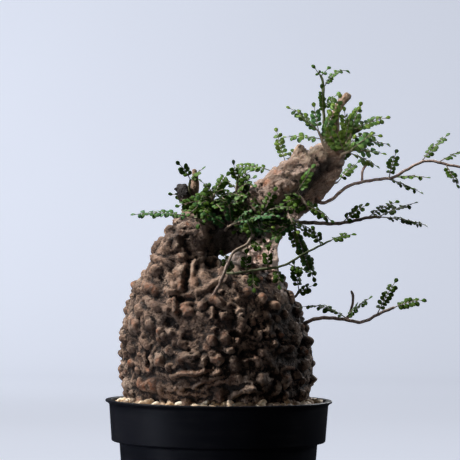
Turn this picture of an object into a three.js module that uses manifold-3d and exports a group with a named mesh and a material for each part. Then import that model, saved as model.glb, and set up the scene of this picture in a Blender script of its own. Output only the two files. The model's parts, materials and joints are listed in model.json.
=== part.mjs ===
// An Operculicarya pachypus bonsai in its plastic pot, in millimetres, +Z up.
// The origin is the middle of the pot's foot, and the viewer of the front stands at -Y.
import * as THREE from 'three';
import { mergeVertices } from 'three/addons/utils/BufferGeometryUtils.js';
import Module from 'manifold-3d';

const wasm = await Module();
wasm.setup();
const { Manifold } = wasm;

// Driving dimensions

const clearance = 0.35; // left between two pieces that touch

const pot = {
  height: 125,
  rimRadius: 75, // the flared lip's edge
  lipDrop: 2.5,
  collarRadius: 72.5,
  collarFootRadius: 70.7,
  collarHeight: 27,
  bodyRadius: 65.5, // under the collar
  footRadius: 57.5,
  wall: 2,
  floor: 3.5,
  segments: 32,
  drains: { count: 5, radius: 4.5, circle: 38, sides: 8 },
};

const soilTop = 115;

const gravel = { top: 122.5, heap: 3.5, pebble: 2.4, columns: 81, rows: 4 };

// The swollen bulb: half width, middle and height of its outline from the front, from the soil to the crown
const bulb = {
  outline: [
    [58.5, -1.2, 115.5], [61, -1.2, 126], [62.6, -1.1, 138], [63.2, -1.6, 150], [62.4, -2.5, 161],
    [60, -3.5, 174], [57, -4.5, 184], [51.5, -5.6, 197], [46.5, -6, 205], [39, -6, 211],
  ],
  crown: [[18, -4, 214.5], [0, -4, 215.5]],
  depthShare: 0.9, // its depth as a share of its width
  rows: 22,
  plainRows: 4, // at the soil, where gravel lies against it
  columns: 60,
  wart: 2.5,
};

// Large knobs and root ridges low on the bulb's front: place, reach and height
const knobs = [
  { at: [-16, -52, 152], reach: 8, rise: 5 },
  { at: [1, -55, 160], reach: 9, rise: 4 },
  { at: [18, -54, 139], reach: 8, rise: 5 },
  { at: [-36, -46, 134], reach: 7, rise: 4 },
  { at: [-26, -50, 139], reach: 7, rise: 4.5 },
  { at: [-12, -54, 144], reach: 7, rise: 4 },
  { at: [20, -54, 130], reach: 10, rise: 4 },
  { at: [-54, -22, 208], reach: 6, rise: 4 },
];

const foot = {
  rings: [[56, 118], [50, 100], [38, 78], [24, 60], [12, 50]],
  columns: 12,
  roots: [
    { path: [[12, -6, 74], [28, -18, 58], [40, -26, 34]], radii: [10, 7, 3] },
    { path: [[-12, -6, 72], [-30, -13, 52], [-42, -18, 28]], radii: [10, 6, 3] },
    { path: [[0, 12, 70], [4, 34, 52], [6, 44, 30]], radii: [10, 6, 3] },
  ],
};

// Trunks and limbs that rise from the bulb: middle line and radii, with warts like the bulb's
const limbs = [
  {
    path: [
      [-22, -14, 184], [-24.5, -15, 210], [-23, -14, 222], [-21.5, -12, 232], [-20.5, -11, 242],
      [-19.5, -10, 252], [-21.5, -10, 260.5],
    ],
    radii: [36, 28, 22.5, 17, 12, 6.4, 4.6],
    columns: 18,
    wart: 2.4,
  },
  {
    path: [
      [-19, -9, 226], [2, -10, 240], [15, -10, 246], [30, -10, 255.5], [46, -8, 270.5], [62, -5, 284],
      [76, -2, 292],
    ],
    radii: [13, 17, 15.6, 14, 12.4, 9.4, 6.5],
    columns: 12,
    wart: 1.3,
  },
  {
    path: [
      [16, 8, 186], [23, 13, 212], [26, 16, 231], [36.5, 16, 242.5], [51.5, 12, 252.5], [64, 9, 263],
      [71.5, 6, 273], [77.5, 2, 283], [78, 0, 292],
    ],
    radii: [30, 20, 15, 12.4, 9, 6.4, 5.9, 5.8, 5.2],
    columns: 12,
    wart: 1,
  },
];

// Cut stubs and the splinters of the broken trunk: middle line and radii
const stubs = [
  { path: [[75.5, -1, 291], [75.5, 0, 307], [76, 1, 318.5], [85, 2, 329]], radii: [3.4, 2.7, 2.3, 2.1] },
  { path: [[76.5, -2, 289], [82, -2, 299.5], [93, -3, 307]], radii: [3, 2.2, 1.8] },
  { path: [[47, -8, 276], [51, -8, 289], [53, -8, 294]], radii: [4.5, 3.2, 2.2] },
  { path: [[-18, -10, 258], [-16.8, -10, 270], [-17.6, -10, 278]], radii: [3, 2.2, 0.7] },
  { path: [[-23, -9, 256], [-28, -9, 267.5]], radii: [3, 0.9] },
  { path: [[-22.5, -12, 256], [-24.3, -12, 268]], radii: [3, 0.9] },
];
const stubSides = 5;

const leaf = {
  thickness: 0.8,
  ribWidth: 1,
  leafletPitch: 5.5, // along the rib, from one pair to the next
  leafletReach: 0.86, // leaflet length as a share of the pitch
  endLeaflet: 4.6,
  bareShare: 0.14, // of the rib, before its first pair
  droop: 0.2, // how far a leaflet's end hangs, as a share of its length
};

const stemSides = 5;
const stemStep = 9;

// Leafy shoots: the stem's middle line, its radius at the root, and each leaf's place along the
// stem, its tip, and how far its middle bows up
const shoots = {
  left_frond: {
    stem: [[-4, -22, 237.5], [-7, -27, 240], [-17, -29, 244.5]],
    radius: 1.1,
    leaves: [[1, [-56, -32, 246], 2], [0.9, [-14.5, -28, 256], 0]],
  },
  stump_sprout: {
    stem: [[-20, -12, 258], [-20.5, -14, 266], [-20, -15, 270.5]],
    radius: 1,
    leaves: [[1, [-27, -17, 279.5], 1], [0.8, [-12.5, -16, 276.5], 1]],
  },
  left_spray: {
    stem: [[-5.5, -14, 249], [-6, -17, 255], [-4, -20, 260.5]],
    radius: 1.2,
    leaves: [
      [0.9, [-12, -19, 268], 1], [1, [4, -22, 272.5], 1], [0.9, [2, -33, 262.5], 1],
      [0.7, [-16.5, -27, 258], 1],
    ],
  },
  centre_spray: {
    stem: [[10.5, -12, 258], [10.5, -14, 263], [11, -15, 268.5]],
    radius: 1.1,
    leaves: [[1, [8.5, -15, 280], 0], [0.9, [19.5, -11, 276], 1], [0.7, [21, -20, 266], 1]],
  },
  front_frond: {
    stem: [[2.5, -23, 236], [6, -33, 239], [9.5, -38, 240.5]],
    radius: 1.1,
    leaves: [[1, [36, -46, 245.5], 2], [0.8, [5.5, -38, 253], 0]],
  },
  limb_spray: {
    stem: [[18, -22, 242], [23.5, -30, 244.5], [28.5, -33, 248]],
    radius: 1.2,
    leaves: [
      [1, [19.5, -32, 258.5], 0], [1, [35, -32, 262], 1], [0.9, [45.5, -34, 251.5], 2],
      [0.6, [28, -35, 231], 0], [0.5, [9.5, -29, 252.5], 1],
    ],
  },
  hanging_spray: {
    stem: [[41.5, -18, 252], [45.5, -26, 244.5], [49, -29, 239]],
    radius: 1.2,
    leaves: [[1, [61, -32, 205.5], -2], [0.8, [33, -35, 228.5], 1], [1, [65, -30, 229.5], 1]],
  },
  high_spray: {
    stem: [[48.5, -16, 264], [52, -21, 259], [56.5, -24, 252.5]],
    radius: 1.2,
    leaves: [[0.4, [54.5, -23, 272.5], 0], [1, [72, -26, 243.5], 1], [0.5, [42, -26, 270], 1]],
  },
  green_twig: {
    stem: [
      [3, -38, 209], [10, -49, 208.5], [25.5, -51, 211], [38.5, -51, 213], [44.5, -50, 215.5],
      [52.5, -47, 220.5], [63, -43, 226], [72, -40, 230.5],
    ],
    radius: 1,
    leaves: [
      [1, [85, -38, 234], 1], [0.9, [60.5, -42, 236.5], 0], [0.58, [56, -52, 210], 0],
      [0.15, [2, -54, 220], 0], [0.25, [17, -56, 221], 0], [0.3, [22, -56, 199], 0],
      [0.42, [31, -55, 223], 0], [0.5, [38, -56, 201], 0],
    ],
  },
  front_twig: {
    stem: [[-4.5, -48, 193], [0, -55, 201], [4, -56, 211.5], [9, -50, 222], [17, -45, 227], [22, -43, 234]],
    radius: 1.2,
    leaves: [[1, [17, -44, 243], 0], [0.85, [29, -46, 226], 0]],
  },
  right_sprig: {
    stem: [[44, -12, 193], [50, -14, 194], [52, -15, 198]],
    radius: 1,
    leaves: [[1, [48.5, -17, 215], 2], [0.6, [61, -18, 201], 1]],
  },
  low_twig: {
    stem: [
      [55, -8, 175.5], [61, -11, 178.5], [69, -15, 180], [82.5, -20, 179], [92.5, -23, 177.5],
      [105.5, -27, 184], [114, -29, 187.5],
    ],
    radius: 1.3,
    twiglets: [[[83.5, -20, 179], [86.5, -17, 187], [87.5, -15, 194.5], [86, -15, 198]]],
    leaves: [
      [0.22, [53, -20, 188], 2], [0.45, [97, -31, 193], 1], [0.8, [114.5, -22, 204], 1],
      [1, [131, -33, 192], 1],
    ],
  },
  middle_twig: {
    stem: [
      [46, 9, 246], [52, 0, 243], [62.5, -6, 242.5], [75, -7, 242], [86, -5, 243.5], [98.5, -2, 246.5],
      [107, 0, 247],
    ],
    radius: 1.4,
    leaves: [
      [0.6, [95.5, -11, 254], 1], [0.86, [117, 7, 257], 1], [1, [128, -7, 256], 1], [1, [136, 3, 242], 1],
    ],
  },
  long_twig: {
    stem: [
      [62.5, 7, 260], [66.5, 0, 256], [72.5, -4, 257.5], [83.5, -7, 266.5], [93, -10, 269.5],
      [105.5, -13, 271.5], [113.5, -16, 272.5], [121, -19, 277], [134, -23, 283], [150, -27, 280],
      [165, -30, 277.5],
    ],
    radius: 1.5,
    twiglets: [[[93, -10, 269.5], [94, -8, 278], [97.5, -7, 283]]],
    leaves: [
      [0.5, [115.5, -9, 289], 1], [0.52, [134, -27, 272], 1], [0.48, [131, -14, 263], 1],
      [0.7, [148, -18, 300], 1], [0.8, [164, -20, 292], 1], [0.84, [153, -35, 267], 0],
      [1, [182, -28, 283], 1], [0.97, [176, -37, 270], 1],
    ],
  },
  head_shoot: {
    stem: [[70.5, -4, 293], [69, -5, 300.5], [67.5, -5, 320.5], [67, -5, 336.5], [65, -5, 341]],
    radius: 1.2,
    leaves: [
      [0.62, [78, -8, 331.5], 1], [0.5, [66, -13, 333], -1], [0.85, [84, -5, 345.5], 4],
      [0.97, [70.5, -3, 352], 0], [1, [57.5, -6, 349.5], 0],
    ],
  },
  head_left: {
    stem: [[69, -7, 290], [66.5, -11, 297], [64, -12, 303]],
    radius: 1.2,
    leaves: [[0.6, [43, -14, 298.5], 1], [1, [61, -15, 318.5], 0], [0.95, [45, -13, 317.5], 2]],
  },
  head_right: {
    stem: [[80, -6, 291], [84, -10, 297], [86, -11, 304]],
    radius: 1.2,
    leaves: [[0.6, [103.5, -12, 300], 1], [0.9, [91.5, -9, 320], 1], [1, [109, -10, 312], 1]],
  },
  head_low: {
    stem: [[79.5, -6, 286], [81, -15, 288], [85, -17, 289.5]],
    radius: 1.2,
    leaves: [
      [0.6, [62, -19, 287], 1], [0.7, [75, -20, 303], 0], [0.9, [97.5, -20, 300], 0], [1, [106, -17, 288], 1],
    ],
  },
  ridge_sprig: {
    stem: [[43.5, 2, 278], [43, 6, 283]],
    radius: 1,
    leaves: [[1, [37, 9, 304], 0], [0.9, [51, 10, 293], 0]],
  },
  ridge_frond: {
    stem: [[36, 1, 272], [33.5, 7, 277.5]],
    radius: 1,
    leaves: [[1, [8, 10, 279], 2]],
  },
  limb_leaf: {
    stem: [[74, 7, 269], [78.5, 12, 270.5]],
    radius: 1,
    leaves: [[1, [92, 14, 284], 1]],
  },
  rear_high_spray: {
    stem: [[73.5, 8, 276.5], [76.5, 24, 281], [79.5, 30, 285.5]],
    radius: 1.2,
    leaves: [[1, [93, 36, 297], 2], [0.8, [63, 38, 294], 2]],
  },
  rear_middle_spray: {
    stem: [[32, 28, 235.5], [36.5, 42, 241], [41, 47, 245.5]],
    radius: 1.2,
    leaves: [[1, [59, 54, 255], 2], [0.8, [27, 57, 255], 2]],
  },
  rear_left_spray: {
    stem: [[-17, 0, 243], [-17, 16, 249], [-18, 21, 254]],
    radius: 1.2,
    leaves: [[1, [-33, 27, 262], 2], [0.8, [-6, 28, 266], 2]],
  },
  rear_low_spray: {
    stem: [[6.5, 36, 209], [8, 46, 216.5], [10.5, 50, 219.5]],
    radius: 1.2,
    leaves: [[1, [28, 57, 221], 2], [0.8, [-9, 56, 224], 2]],
  },
};

const finish = {
  pot: { color: 0x17191e, roughness: 0.35, metalness: 0 },
  substrate: { color: 0x3b2d22, roughness: 0.95, metalness: 0 },
  gravel: { color: 0xb9a78f, roughness: 0.85, metalness: 0 },
  wood: { color: 0x6d5b4d, roughness: 0.85, metalness: 0 },
  leaves: { color: 0x33582b, roughness: 0.5, metalness: 0 },
};

// Small tools

const up = new THREE.Vector3(0, 0, 1);

const vector = ([x, y, z]) => new THREE.Vector3(x, y, z);

// A repeatable draw between 0 and 1 for an item in a stream of draws
function scatter(item, stream) {
  const wave = Math.sin(item * 12.9898 + stream * 78.233) * 43758.5453;
  return wave - Math.floor(wave);
}

// The value at a share between 0 and 1 along a list of evenly spaced values
function along(values, share) {
  const place = THREE.MathUtils.clamp(share, 0, 1) * (values.length - 1);
  const index = Math.min(Math.floor(place), values.length - 2);
  return THREE.MathUtils.lerp(values[index], values[index + 1], place - index);
}

function geometryFrom(points, triangles) {
  const geometry = new THREE.BufferGeometry();
  const coordinates = points.flatMap((point) => point.toArray());
  geometry.setAttribute('position', new THREE.Float32BufferAttribute(coordinates, 3));
  geometry.setIndex(triangles.flat());
  return geometry;
}

function solid(geometry) {
  const bare = geometry.clone();
  bare.deleteAttribute('normal');
  bare.deleteAttribute('uv');
  const welded = mergeVertices(bare, 1e-4);
  const vertProperties = new Float32Array(welded.attributes.position.array);
  const triVerts = new Uint32Array(welded.index.array);
  return new Manifold(new wasm.Mesh({ numProp: 3, vertProperties, triVerts }));
}

function node(name, body, look) {
  const { vertProperties, triVerts } = body.getMesh();
  const geometry = new THREE.BufferGeometry();
  geometry.setAttribute('position', new THREE.Float32BufferAttribute(vertProperties, 3));
  geometry.setIndex([...triVerts]);
  geometry.computeVertexNormals();
  const mesh = new THREE.Mesh(geometry, new THREE.MeshStandardMaterial(look));
  mesh.name = name;
  return mesh;
}

// The largest of the loose bodies in a solid
function largestBody(body) {
  const bodies = body.decompose();
  return bodies.reduce((best, next) => (next.volume() > best.volume() ? next : best));
}

function turned(profile, segments) {
  const points = profile.map(([radius, height]) => new THREE.Vector2(radius, height));
  return solid(new THREE.LatheGeometry(points, segments).rotateX(Math.PI / 2));
}

// Rings of points in a triangular lattice: each ring is turned half a step from the one before, and
// every third point, the tip of a wart, is ringed by six low ones. place(row, turn, isTip, item)
// gives a point.
function latticeRings(rows, columns, place) {
  const rings = [];
  for (let row = 0; row < rows; row += 1) {
    const ring = [];
    for (let column = 0; column < columns; column += 1) {
      const turn = ((column + 0.5 * (row % 2)) / columns) * 2 * Math.PI;
      const lane = column - Math.floor(row / 2);
      const isTip = (((lane - row) % 3) + 3) % 3 === 0;
      ring.push(place(row, turn, isTip, row * columns + column));
    }
    rings.push(ring);
  }
  return rings;
}

// Triangles between rings of a lattice, each point numbered row by row
function latticeBands(rows, columns) {
  const triangles = [];
  for (let row = 0; row < rows - 1; row += 1) {
    for (let column = 0; column < columns; column += 1) {
      const next = (column + 1) % columns;
      const [low, lowNext] = [row * columns + column, row * columns + next];
      const [high, highNext] = [low + columns, lowNext + columns];
      if (row % 2 === 0) triangles.push([low, lowNext, high], [lowNext, highNext, high]);
      else triangles.push([low, highNext, high], [low, lowNext, highNext]);
    }
  }
  return triangles;
}

// A closed body from lattice rings, with a point in the middle of each end
function closedLattice(rings, startPoint, endPoint) {
  const columns = rings[0].length;
  const points = rings.flat();
  const triangles = latticeBands(rings.length, columns);
  const start = points.length;
  const lastRing = (rings.length - 1) * columns;
  for (let column = 0; column < columns; column += 1) {
    const next = (column + 1) % columns;
    triangles.push([start, next, column], [start + 1, lastRing + column, lastRing + next]);
  }
  points.push(startPoint, endPoint);
  return solid(geometryFrom(points, triangles));
}

// Middle line with frames at even steps
function framedLine(path, steps) {
  const curve = new THREE.CatmullRomCurve3(path.map(vector), false, 'centripetal');
  const { tangents, normals, binormals } = curve.computeFrenetFrames(steps, false);
  const at = (row) => ({
    middle: curve.getPointAt(row / steps),
    tangent: tangents[row],
    normal: normals[row],
    binormal: binormals[row],
  });
  return { curve, at };
}

// A plain tapering rod with flat ends
function rod(path, radii, sides, step, growth = 0) {
  const length = new THREE.CatmullRomCurve3(path.map(vector)).getLength();
  const steps = Math.max(1, path.length - 1, Math.round(length / step));
  const line = framedLine(path, steps);
  const points = [];
  for (let row = 0; row <= steps; row += 1) {
    const { middle, tangent, normal, binormal } = line.at(row);
    if (row === 0) middle.addScaledVector(tangent, -growth);
    if (row === steps) middle.addScaledVector(tangent, growth);
    const radius = along(radii, row / steps) + growth;
    for (let side = 0; side < sides; side += 1) {
      const turn = (side / sides) * 2 * Math.PI;
      points.push(middle.clone()
        .addScaledVector(normal, radius * Math.cos(turn))
        .addScaledVector(binormal, radius * Math.sin(turn)));
    }
  }
  const triangles = [];
  for (let row = 0; row < steps; row += 1) {
    for (let side = 0; side < sides; side += 1) {
      const low = row * sides + side;
      const lowNext = row * sides + ((side + 1) % sides);
      triangles.push([low, lowNext, low + sides], [lowNext, lowNext + sides, low + sides]);
    }
  }
  const last = steps * sides;
  for (let side = 1; side < sides - 1; side += 1) {
    triangles.push([0, side + 1, side], [last, last + side, last + side + 1]);
  }
  return solid(geometryFrom(points, triangles));
}

// Pot

// The inner wall up to a height within the collar
function potInside(height) {
  const collarFoot = pot.height - pot.collarHeight;
  const share = (height - collarFoot - pot.wall) / (pot.collarHeight - pot.wall);
  return [
    [pot.footRadius - pot.wall, pot.floor],
    [pot.bodyRadius - pot.wall, collarFoot],
    [pot.collarFootRadius - pot.wall, collarFoot + pot.wall],
    [THREE.MathUtils.lerp(pot.collarFootRadius, pot.collarRadius, share) - pot.wall, height],
  ];
}

function makePot() {
  const collarFoot = pot.height - pot.collarHeight;
  const inside = potInside(pot.height);
  const shell = turned([
    [0, 0],
    [pot.footRadius - 1, 0],
    [pot.footRadius, 1],
    [pot.bodyRadius, collarFoot - 1],
    [pot.collarFootRadius, collarFoot],
    [pot.collarRadius, pot.height - pot.lipDrop],
    [pot.rimRadius, pot.height - 1],
    [pot.rimRadius, pot.height],
    ...inside.reverse(),
    [0, pot.floor],
  ], pot.segments);
  const { count, radius, circle, sides } = pot.drains;
  const drains = Array.from({ length: count }, (_, index) => {
    const turn = (index / count) * 2 * Math.PI;
    const drill = new THREE.CylinderGeometry(radius, radius, 3 * pot.floor, sides).rotateX(Math.PI / 2);
    return solid(drill.translate(circle * Math.cos(turn), circle * Math.sin(turn), 0));
  });
  return shell.subtract(Manifold.union(drains));
}

// Wood

function knobRise(point) {
  return knobs.reduce((rise, knob) => {
    const share = point.distanceTo(vector(knob.at)) / knob.reach;
    return rise + knob.rise * Math.exp(-share * share);
  }, 0);
}

const bulbOutline = new THREE.CatmullRomCurve3(bulb.outline.map(vector));

// A point on the bulb without its small warts, raised by a lift, at a share of the outline's length
function bulbPoint(share, angle, lift) {
  const { x: halfWidth, y: middle, z: height } = bulbOutline.getPointAt(share);
  const slope = bulbOutline.getTangentAt(share);
  const across = halfWidth * bulb.depthShare;
  const point = new THREE.Vector3(middle + halfWidth * Math.cos(angle), across * Math.sin(angle), height);
  const outward = new THREE.Vector3(slope.z * Math.cos(angle), slope.z * Math.sin(angle), -slope.x);
  return point.addScaledVector(outward.normalize(), knobRise(point) + lift);
}

function makeBulb(growth) {
  const last = bulb.rows - 1;
  const place = (row, turn, isTip, item) => {
    const plain = row < bulb.plainRows;
    const rowShift = plain ? 0 : 0.5 * (scatter(item, 1) - 0.5);
    const share = THREE.MathUtils.clamp((row + rowShift) / last, 0, 1);
    const turnShift = plain ? 0 : (0.5 * (scatter(item, 2) - 0.5) * 2 * Math.PI) / bulb.columns;
    const wart = isTip && !plain ? bulb.wart * (0.45 + scatter(item, 3)) : 0;
    return bulbPoint(share, turn + turnShift, wart + growth);
  };
  const rings = latticeRings(bulb.rows, bulb.columns, place);
  const [[ringWidth, ringMiddle, ringHeight], [, endMiddle, endHeight]] = bulb.crown;
  rings.push(...latticeRings(bulb.rows + 1, bulb.columns, (row, turn) => new THREE.Vector3(
    ringMiddle + ringWidth * Math.cos(turn),
    ringWidth * bulb.depthShare * Math.sin(turn),
    ringHeight + growth,
  )).slice(-1));
  const [, , low] = bulb.outline[0];
  const start = new THREE.Vector3(0, 0, low - growth);
  return closedLattice(rings, start, new THREE.Vector3(endMiddle, 0, endHeight + growth));
}

function makeFoot(growth) {
  const rings = latticeRings(foot.rings.length, foot.columns, (row, turn) => {
    const [radius, height] = foot.rings[row];
    const reach = radius + growth;
    return new THREE.Vector3(reach * Math.cos(turn), reach * bulb.depthShare * Math.sin(turn), height);
  }).reverse();
  const tip = new THREE.Vector3(0, 0, foot.rings.at(-1)[1] - 3 - growth);
  const body = closedLattice(rings, tip, new THREE.Vector3(0, 0, foot.rings[0][1]));
  const roots = foot.roots.map(({ path, radii }) => rod(path, radii, stubSides, 30, growth));
  return Manifold.union([body, ...roots]);
}

function makeLimb({ path, radii, columns, wart }, seed, growth) {
  const length = new THREE.CatmullRomCurve3(path.map(vector)).getLength();
  const girth = (2 * Math.PI * radii.reduce((sum, radius) => sum + radius)) / radii.length;
  const steps = Math.round(length / ((girth / columns) * 0.9));
  const line = framedLine(path, steps);
  const place = (row, turn, isTip, item) => {
    const { middle, tangent, normal, binormal } = line.at(row);
    const end = row === 0 || row === steps;
    const angle = turn + (0.5 * (scatter(item, seed) - 0.5) * 2 * Math.PI) / columns;
    const lift = isTip && !end ? wart * (0.3 + 1.2 * scatter(item, seed + 1)) : 0;
    const radius = along(radii, row / steps) + lift + growth;
    const slide = end ? 0 : (0.5 * (scatter(item, seed + 2) - 0.5) * length) / steps;
    return middle.addScaledVector(tangent, slide)
      .addScaledVector(normal, radius * Math.cos(angle))
      .addScaledVector(binormal, radius * Math.sin(angle));
  };
  const rings = latticeRings(steps + 1, columns, place);
  const [first, final] = [line.at(0), line.at(steps)];
  return closedLattice(
    rings,
    first.middle.addScaledVector(first.tangent, -growth),
    final.middle.addScaledVector(final.tangent, growth + 0.5),
  );
}

function makeWood(growth) {
  return Manifold.union([
    makeBulb(growth),
    makeFoot(growth),
    ...limbs.map((limb, index) => makeLimb(limb, 10 * (index + 1), growth)),
    ...stubs.map(({ path, radii }) => rod(path, radii, stubSides, 8, growth)),
  ]);
}

// Soil and gravel

function makeSubstrate(woodHollow) {
  const wall = potInside(soilTop).map(([radius, height], index) => [
    radius - clearance,
    index === 0 ? height + clearance : height,
  ]);
  const fill = turned([[0, pot.floor + clearance], ...wall, [0, soilTop]], pot.segments);
  return fill.subtract(woodHollow);
}

// The share of the bulb's outline at which it reaches a height
function bulbShareAt(height) {
  let [low, high] = [0, 0.5];
  for (let round = 0; round < 20; round += 1) {
    const middle = (low + high) / 2;
    if (bulbOutline.getPointAt(middle).z < height) low = middle;
    else high = middle;
  }
  return low;
}

// A ring of gravel from the collar's wall to the bulb, heaped against it, in pebbles of the lattice
function makeGravel() {
  const floor = soilTop + clearance;
  const outerRadius = (pot.collarRadius - pot.wall) * Math.cos(Math.PI / pot.segments) - 2 * clearance;
  const heapAt = (share) => gravel.top + gravel.heap * share;
  const innerEdge = (turn, height) => bulbPoint(bulbShareAt(height), turn, 2 * clearance).setZ(height);
  const outerEdge = (turn, height) => new THREE.Vector3(Math.cos(turn), Math.sin(turn), 0)
    .multiplyScalar(outerRadius - (gravel.top - height) * 0.1)
    .setZ(height);
  const place = (row, turn, isTip, item) => {
    if (row === 0) return outerEdge(turn, floor);
    if (row === 1) return outerEdge(turn, gravel.top);
    if (row === gravel.rows + 2) return innerEdge(turn, heapAt(1));
    if (row === gravel.rows + 3) return innerEdge(turn, floor);
    const shift = 0.5 * (scatter(item, 5) - 0.5);
    const share = (row - 1 + shift) / (gravel.rows + 1);
    const angle = turn + (0.5 * (scatter(item, 6) - 0.5) * 2 * Math.PI) / gravel.columns;
    const pebble = isTip ? gravel.pebble * (0.6 + 0.8 * scatter(item, 7)) : 0;
    const height = heapAt(share);
    return outerEdge(angle, height).lerp(innerEdge(angle, height), share).setZ(height + pebble);
  };
  const rows = gravel.rows + 4;
  const rings = latticeRings(rows, gravel.columns, place);
  const triangles = latticeBands(rows, gravel.columns);
  const last = (rows - 1) * gravel.columns;
  for (let column = 0; column < gravel.columns; column += 1) {
    const next = (column + 1) % gravel.columns;
    triangles.push([last + column, last + next, column], [last + next, next, column]);
  }
  return solid(geometryFrom(rings.flat(), triangles));
}

// Leaves

// A pinnate leaf: one thin blade with leaflets cut to the rib, split into triangles alike on both faces
function makeLeaf(base, tip, bow, item) {
  const control = base.clone().add(tip).multiplyScalar(0.5).addScaledVector(up, 2 * bow);
  const rib = new THREE.QuadraticBezierCurve3(base, control, tip);
  const length = rib.getLength();
  const paired = length * (1 - leaf.bareShare) - leaf.endLeaflet;
  const pairs = Math.max(1, Math.round(paired / leaf.leafletPitch));
  const pitch = paired / pairs;
  const reach = Math.min(pitch, leaf.leafletPitch) * leaf.leafletReach;
  const rearward = tip.y > 15 ? 1 : -1;
  const tilt = THREE.MathUtils.degToRad(35 + 45 * scatter(item, 8));
  const sway = 0.6 * (scatter(item, 9) - 0.5);
  const facing = new THREE.Vector3(sway, rearward * Math.sin(tilt), Math.cos(tilt)).normalize();
  const chord = tip.clone().sub(base).normalize();
  const side = new THREE.Vector3().crossVectors(facing, chord).normalize();
  const face = new THREE.Vector3().crossVectors(chord, side);

  const spot = (run, across, drop) => rib.getPointAt(THREE.MathUtils.clamp(run / length, 0, 1))
    .addScaledVector(chord, Math.max(0, run - length))
    .addScaledVector(side, across)
    .addScaledVector(face, -drop);
  const half = leaf.ribWidth / 2;
  const start = length * leaf.bareShare;
  const sag = leaf.droop * reach;

  // One side's edge from the root to the end leaflet, with two outer corners on each leaflet
  const edge = (sign) => {
    const points = [spot(0, sign * half, 0), spot(start, sign * half, 0)];
    for (let pair = 0; pair < pairs; pair += 1) {
      const from = start + pair * pitch;
      const lean = 0.2 * reach;
      const grown = 1 - 0.18 * Math.abs((2 * pair) / pairs - 0.8);
      points.push(spot(from + 0.1 * pitch + lean, sign * reach * 0.88 * grown, sag));
      points.push(spot(from + 0.82 * pitch + lean, sign * reach * grown, sag));
      points.push(spot(from + pitch, sign * half, 0));
    }
    points.push(spot(length - leaf.endLeaflet * 0.45, sign * leaf.endLeaflet * 0.36, 0));
    return points;
  };
  const right = edge(-1);
  const left = edge(1);
  const outline = [...right, spot(length, 0, sag), ...left.reverse()];
  const count = outline.length;
  const mirror = (index) => count - 1 - index;

  const faces = [];
  const quad = (a, b, c, d) => faces.push([a, b, c], [a, c, d]);
  quad(0, 1, mirror(1), mirror(0));
  for (let pair = 0; pair < pairs; pair += 1) {
    const low = 1 + 3 * pair;
    const high = low + 3;
    quad(low, high, mirror(high), mirror(low));
    quad(low, low + 1, low + 2, high);
    quad(mirror(high), mirror(low + 2), mirror(low + 1), mirror(low));
  }
  const neck = 1 + 3 * pairs;
  quad(neck, neck + 1, mirror(neck + 1), mirror(neck));
  faces.push([neck + 1, neck + 2, mirror(neck + 1)]);

  const offset = face.clone().multiplyScalar(leaf.thickness / 2);
  const points = [
    ...outline.map((point) => point.clone().add(offset)),
    ...outline.map((point) => point.clone().sub(offset)),
  ];
  const triangles = faces.flatMap(([a, b, c]) => [[a, b, c], [c + count, b + count, a + count]]);
  for (let index = 0; index < count; index += 1) {
    const next = (index + 1) % count;
    triangles.push([index, index + count, next], [next, index + count, next + count]);
  }
  return solid(geometryFrom(points, triangles));
}

function makeShoot({ stem, radius, twiglets = [], leaves }, shootIndex, woodHollow) {
  const line = new THREE.CatmullRomCurve3(stem.map(vector), false, 'centripetal');
  const blades = leaves.map(([share, tip, bow], index) => (
    makeLeaf(line.getPointAt(Math.min(share, 0.97)), vector(tip), bow, 20 * shootIndex + index)));
  const body = Manifold.union([
    rod(stem, [radius, 0.75 * radius], stemSides, stemStep),
    ...twiglets.map((path) => rod(path, [0.8, 0.9], stemSides, stemStep)),
    ...blades,
  ]);
  return largestBody(body.subtract(woodHollow));
}

// The whole bonsai

const woodHollow = makeWood(clearance);
const bonsai = new THREE.Group();
bonsai.add(
  node('pot', makePot(), finish.pot),
  node('substrate', makeSubstrate(woodHollow), finish.substrate),
  node('gravel', makeGravel(), finish.gravel),
  node('caudex', makeWood(0), finish.wood),
);
Object.entries(shoots).forEach(([name, shoot], index) => {
  bonsai.add(node(name, makeShoot(shoot, index, woodHollow), finish.leaves));
});

export default bonsai;
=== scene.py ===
"""Looks of an Operculicarya pachypus bonsai in its plastic pot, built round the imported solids.

Sizes are in millimetres and repeat the named values of the part's source. They become metres
where a mesh, a light or the camera is made. The origin is the middle of the pot's foot, +Z is up,
and the viewer of the front stands at -Y.
"""

import json
import logging
from dataclasses import dataclass, field
from enum import Enum
from itertools import product

import bpy
import numpy as np
from mathutils import Matrix, Vector

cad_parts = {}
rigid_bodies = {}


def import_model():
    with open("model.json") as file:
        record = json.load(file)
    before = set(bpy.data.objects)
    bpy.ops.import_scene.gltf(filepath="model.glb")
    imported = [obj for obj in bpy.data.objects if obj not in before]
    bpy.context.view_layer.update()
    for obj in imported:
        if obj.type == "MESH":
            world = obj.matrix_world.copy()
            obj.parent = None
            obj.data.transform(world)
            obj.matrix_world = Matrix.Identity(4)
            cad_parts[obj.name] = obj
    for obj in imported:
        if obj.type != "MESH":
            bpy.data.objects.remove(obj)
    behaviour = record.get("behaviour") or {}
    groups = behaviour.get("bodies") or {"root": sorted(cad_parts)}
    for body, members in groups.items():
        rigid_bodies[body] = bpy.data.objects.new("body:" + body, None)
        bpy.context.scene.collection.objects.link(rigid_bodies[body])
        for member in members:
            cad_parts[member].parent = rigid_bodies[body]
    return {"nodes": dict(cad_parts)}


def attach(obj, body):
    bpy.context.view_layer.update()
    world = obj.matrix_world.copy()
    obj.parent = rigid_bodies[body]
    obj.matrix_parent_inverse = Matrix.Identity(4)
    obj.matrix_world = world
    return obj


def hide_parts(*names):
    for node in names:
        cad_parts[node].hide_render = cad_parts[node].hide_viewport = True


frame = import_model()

logger = logging.getLogger("bonsai")

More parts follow.
